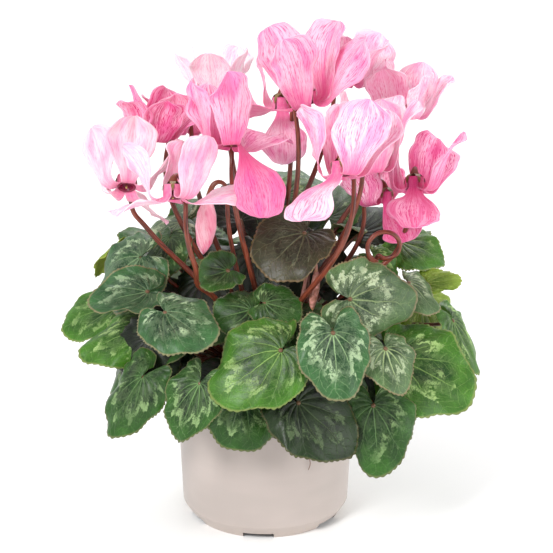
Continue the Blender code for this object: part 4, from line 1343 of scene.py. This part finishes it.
bevel = pot.modifiers.new("Soft edges", "BEVEL")
bevel.width = EDGE_WIDTH * MM
bevel.segments = 2
bevel.limit_method = "ANGLE"
bevel.angle_limit = math.radians(EDGE_ANGLE)
pot.data.set_sharp_from_angle(angle=math.radians(EDGE_ANGLE + 5))
print("cut", NOTCHES, "notches, pot now has", len(pot.data.polygons), "faces")

# %% [markdown]
# ## Soil and tuber
# Nearly hidden by the leaves, but it shows from above and between the stems: dark crumbly peat with
# paler fibres, and the corky top of the tuber that everything grows from. The peat is a turned surface
# roughened by moving its points, with loose crumbs scattered over it.

# %% Peat
SOIL_SIDES = 150
CRUMBS = 700
CORNERS = np.array([(x, y, z) for x in (-1, 1) for y in (-1, 1) for z in (-1, 1)], float) * 0.58
BOX_FACES = [(0, 1, 3, 2), (4, 6, 7, 5), (0, 4, 5, 1), (2, 3, 7, 6), (0, 2, 6, 4), (1, 5, 7, 3)]


def peat_finish(name):
    made, tree = new_finish(name)
    where = place_on(tree)
    lumps = noise(where, 260.0, 4.0, 0.6)
    fibre = noise(where, 1.0, stretch=(900, 240, 500))
    colour = mix(fade(lumps, 0.3, 0.7), paint(26, 18, 13), paint(62, 44, 32))
    colour = mix(fade(fibre, 0.7, 0.82, 0.0, 0.7), colour, paint(112, 84, 58))
    return dress(made, colour, fade(lumps, 0.2, 0.8, 0.98, 0.8), (lumps, 1.0, 0.001))


peat = peat_finish("soil_peat")
soil_edge = SHOULDER_RADIUS - WALL - 0.4 + taper * (SOIL_EDGE - SHOULDER_HEIGHT)
draw = np.random.default_rng(11)
radii = np.concatenate([[0.01], np.linspace(4, soil_edge, 34)])
slope = {0: SOIL_TOP, 39: SOIL_TOP, soil_edge - 6: SOIL_EDGE + 2, soil_edge: SOIL_EDGE - 1}
heights = np.interp(radii, list(slope), list(slope.values()))
r, t = sheet_grid(radii, ring(SOIL_SIDES))
bumps = 0.9 * np.sin(r * 0.9 + 2 * np.sin(5 * t)) * np.sin(7 * t + r * 0.35) + draw.normal(0, 0.45, r.shape)
surface = np.stack([r * np.cos(t), r * np.sin(t), heights[:, None] + bumps * (r < soil_edge - 0.5)], axis=-1)
faces = cells(len(radii), SOIL_SIDES, around=True, flip=True)
mesh_piece("potting_soil_surface", surface.reshape(-1, 3), faces, {}, peat, "soil_peat", "potting_soil")

crumbs, faces = [], []
for k in range(CRUMBS):
    size = draw.uniform(0.5, 1.9)
    shape = CORNERS * draw.uniform(0.6, 1.2, 3) + draw.normal(0, 0.16, CORNERS.shape)
    spin = np.linalg.qr(draw.normal(size=(3, 3)))[0]
    angle, radius = draw.uniform(0, FULL_TURN), draw.uniform(TUBER_RADIUS, soil_edge - 1.5)
    centre = [radius * math.cos(angle), radius * math.sin(angle), np.interp(radius, radii, heights) + 0.5]
    faces += [[8 * k + corner for corner in face] for face in BOX_FACES]
    crumbs.append(centre + size * shape @ spin)
mesh_piece("potting_soil_crumbs", np.concatenate(crumbs), faces, {}, peat, "soil_peat", "potting_soil")
print("soil with", CRUMBS, "crumbs")

# %% Tuber
def cork_finish(name):
    made, tree = new_finish(name)
    cracks = noise(place_on(tree), 1.0, 4.0, 0.7, stretch=(150, 150, 420))
    colour = mix(fade(cracks, 0.35, 0.65), paint(66, 46, 34), paint(124, 94, 70))
    return dress(made, colour, fade(cracks, 0.2, 0.8, 0.9, 0.7), (cracks, 1.0, 0.0012))


tuber_profile = [(max(TUBER_RADIUS * math.cos(lift), 0.01) * (1 + 0.012 * math.sin(14 * lift)),
                  TUBER_CENTRE + TUBER_HALF_HEIGHT * math.sin(lift))
                 for lift in np.linspace(-math.pi / 2, math.pi / 2, 40)]
turned_piece("tuber_body", tuber_profile, 96, cork_finish("tuber_skin"), "tuber_skin", "tuber")
print("tuber", 2 * TUBER_RADIUS, "mm across")

# %% [markdown]
# ## Stage, light and camera
# A plant reads best in soft even light with a gentle direction. One soft lamp stands in front to the left,
# one at the right brightens that side of the pot, one from above and behind rims the petals, and a pale
# sky and floor bounce light into the shadows. The camera stands well back with a long lens, a little above
# the flowers.

# %% Floor
FLOOR_SIZE = 16


def floor_finish():
    made, tree = new_finish("studio_floor")
    cloud = noise(place_on(tree), 3.0)
    return dress(made, mix(cloud, paint(250, 250, 250), paint(252, 252, 252)), 0.85)


bpy.ops.mesh.primitive_plane_add(size=FLOOR_SIZE)
floor = bpy.context.object
floor.name = "studio_floor"
floor.data.materials.append(floor_finish())
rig.stage(floor)
print("floor", FLOOR_SIZE, "m across")

# %% Lamps and sky
PLANT_HEART = (0.0, 0.0, 0.18)
LAMPS = {       # place, size, power
    "key_lamp": ((-0.9, -1.3, 1.3), 0.6, 28),
    "fill_lamp": ((1.5, -0.6, 0.5), 1.2, 14),
    "rim_lamp": ((0.3, 1.3, 1.2), 1.0, 12),
}
SKY_STRENGTH = 0.75


def put_up(name, data, place, aim):
    """A lamp or a camera in its place, turned towards its aim."""
    thing = bpy.data.objects.new(name, data)
    thing.location = place
    thing.rotation_euler = (Vector(aim) - Vector(place)).to_track_quat("-Z", "Y").to_euler()
    bpy.context.scene.collection.objects.link(thing)
    return thing


for name, (place, size, power) in LAMPS.items():
    light = bpy.data.lights.new(name, "AREA")
    light.energy = power
    light.size = size
    put_up(name, light, place, PLANT_HEART)

sky = bpy.data.worlds.new("studio_sky")
sky.use_nodes = True
colour, strength = sky.node_tree.nodes["Background"].inputs[:2]
fill(colour, (1.0, 1.0, 1.0, 1.0))
fill(strength, SKY_STRENGTH)
bpy.context.scene.world = sky
bpy.context.scene.view_settings.view_transform = "Standard"     # show colours as they were painted
print(len(LAMPS), "soft lamps and a pale sky")

# %% Camera
CAMERA_PLACE, CAMERA_AIM = (0.0074, -1.37, 0.666), (0.0074, 0.0, 0.163)
FOCAL_LENGTH, SENSOR_WIDTH = 147.0, 36.0

lens = bpy.data.cameras.new("camera")
lens.lens = FOCAL_LENGTH
lens.sensor_width = SENSOR_WIDTH
bpy.context.scene.camera = put_up("camera", lens, CAMERA_PLACE, CAMERA_AIM)
print("camera", round(math.dist(CAMERA_PLACE, CAMERA_AIM), 3), "m from the plant")

# %% [markdown]
# ## Write down the size
# Both boxes, the measured plant's and the dressed plant's, are written down side by side.

# %% Write both boxes and finish
size = {"cad": [list(corner) for corner in cad_box], "visual": [list(corner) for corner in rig.bounds()]}
with open("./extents.json", "w") as out:
    json.dump(size, out, indent=1)
for name, corners in size.items():
    print(name, [[round(x, 4) for x in corner] for corner in corners])
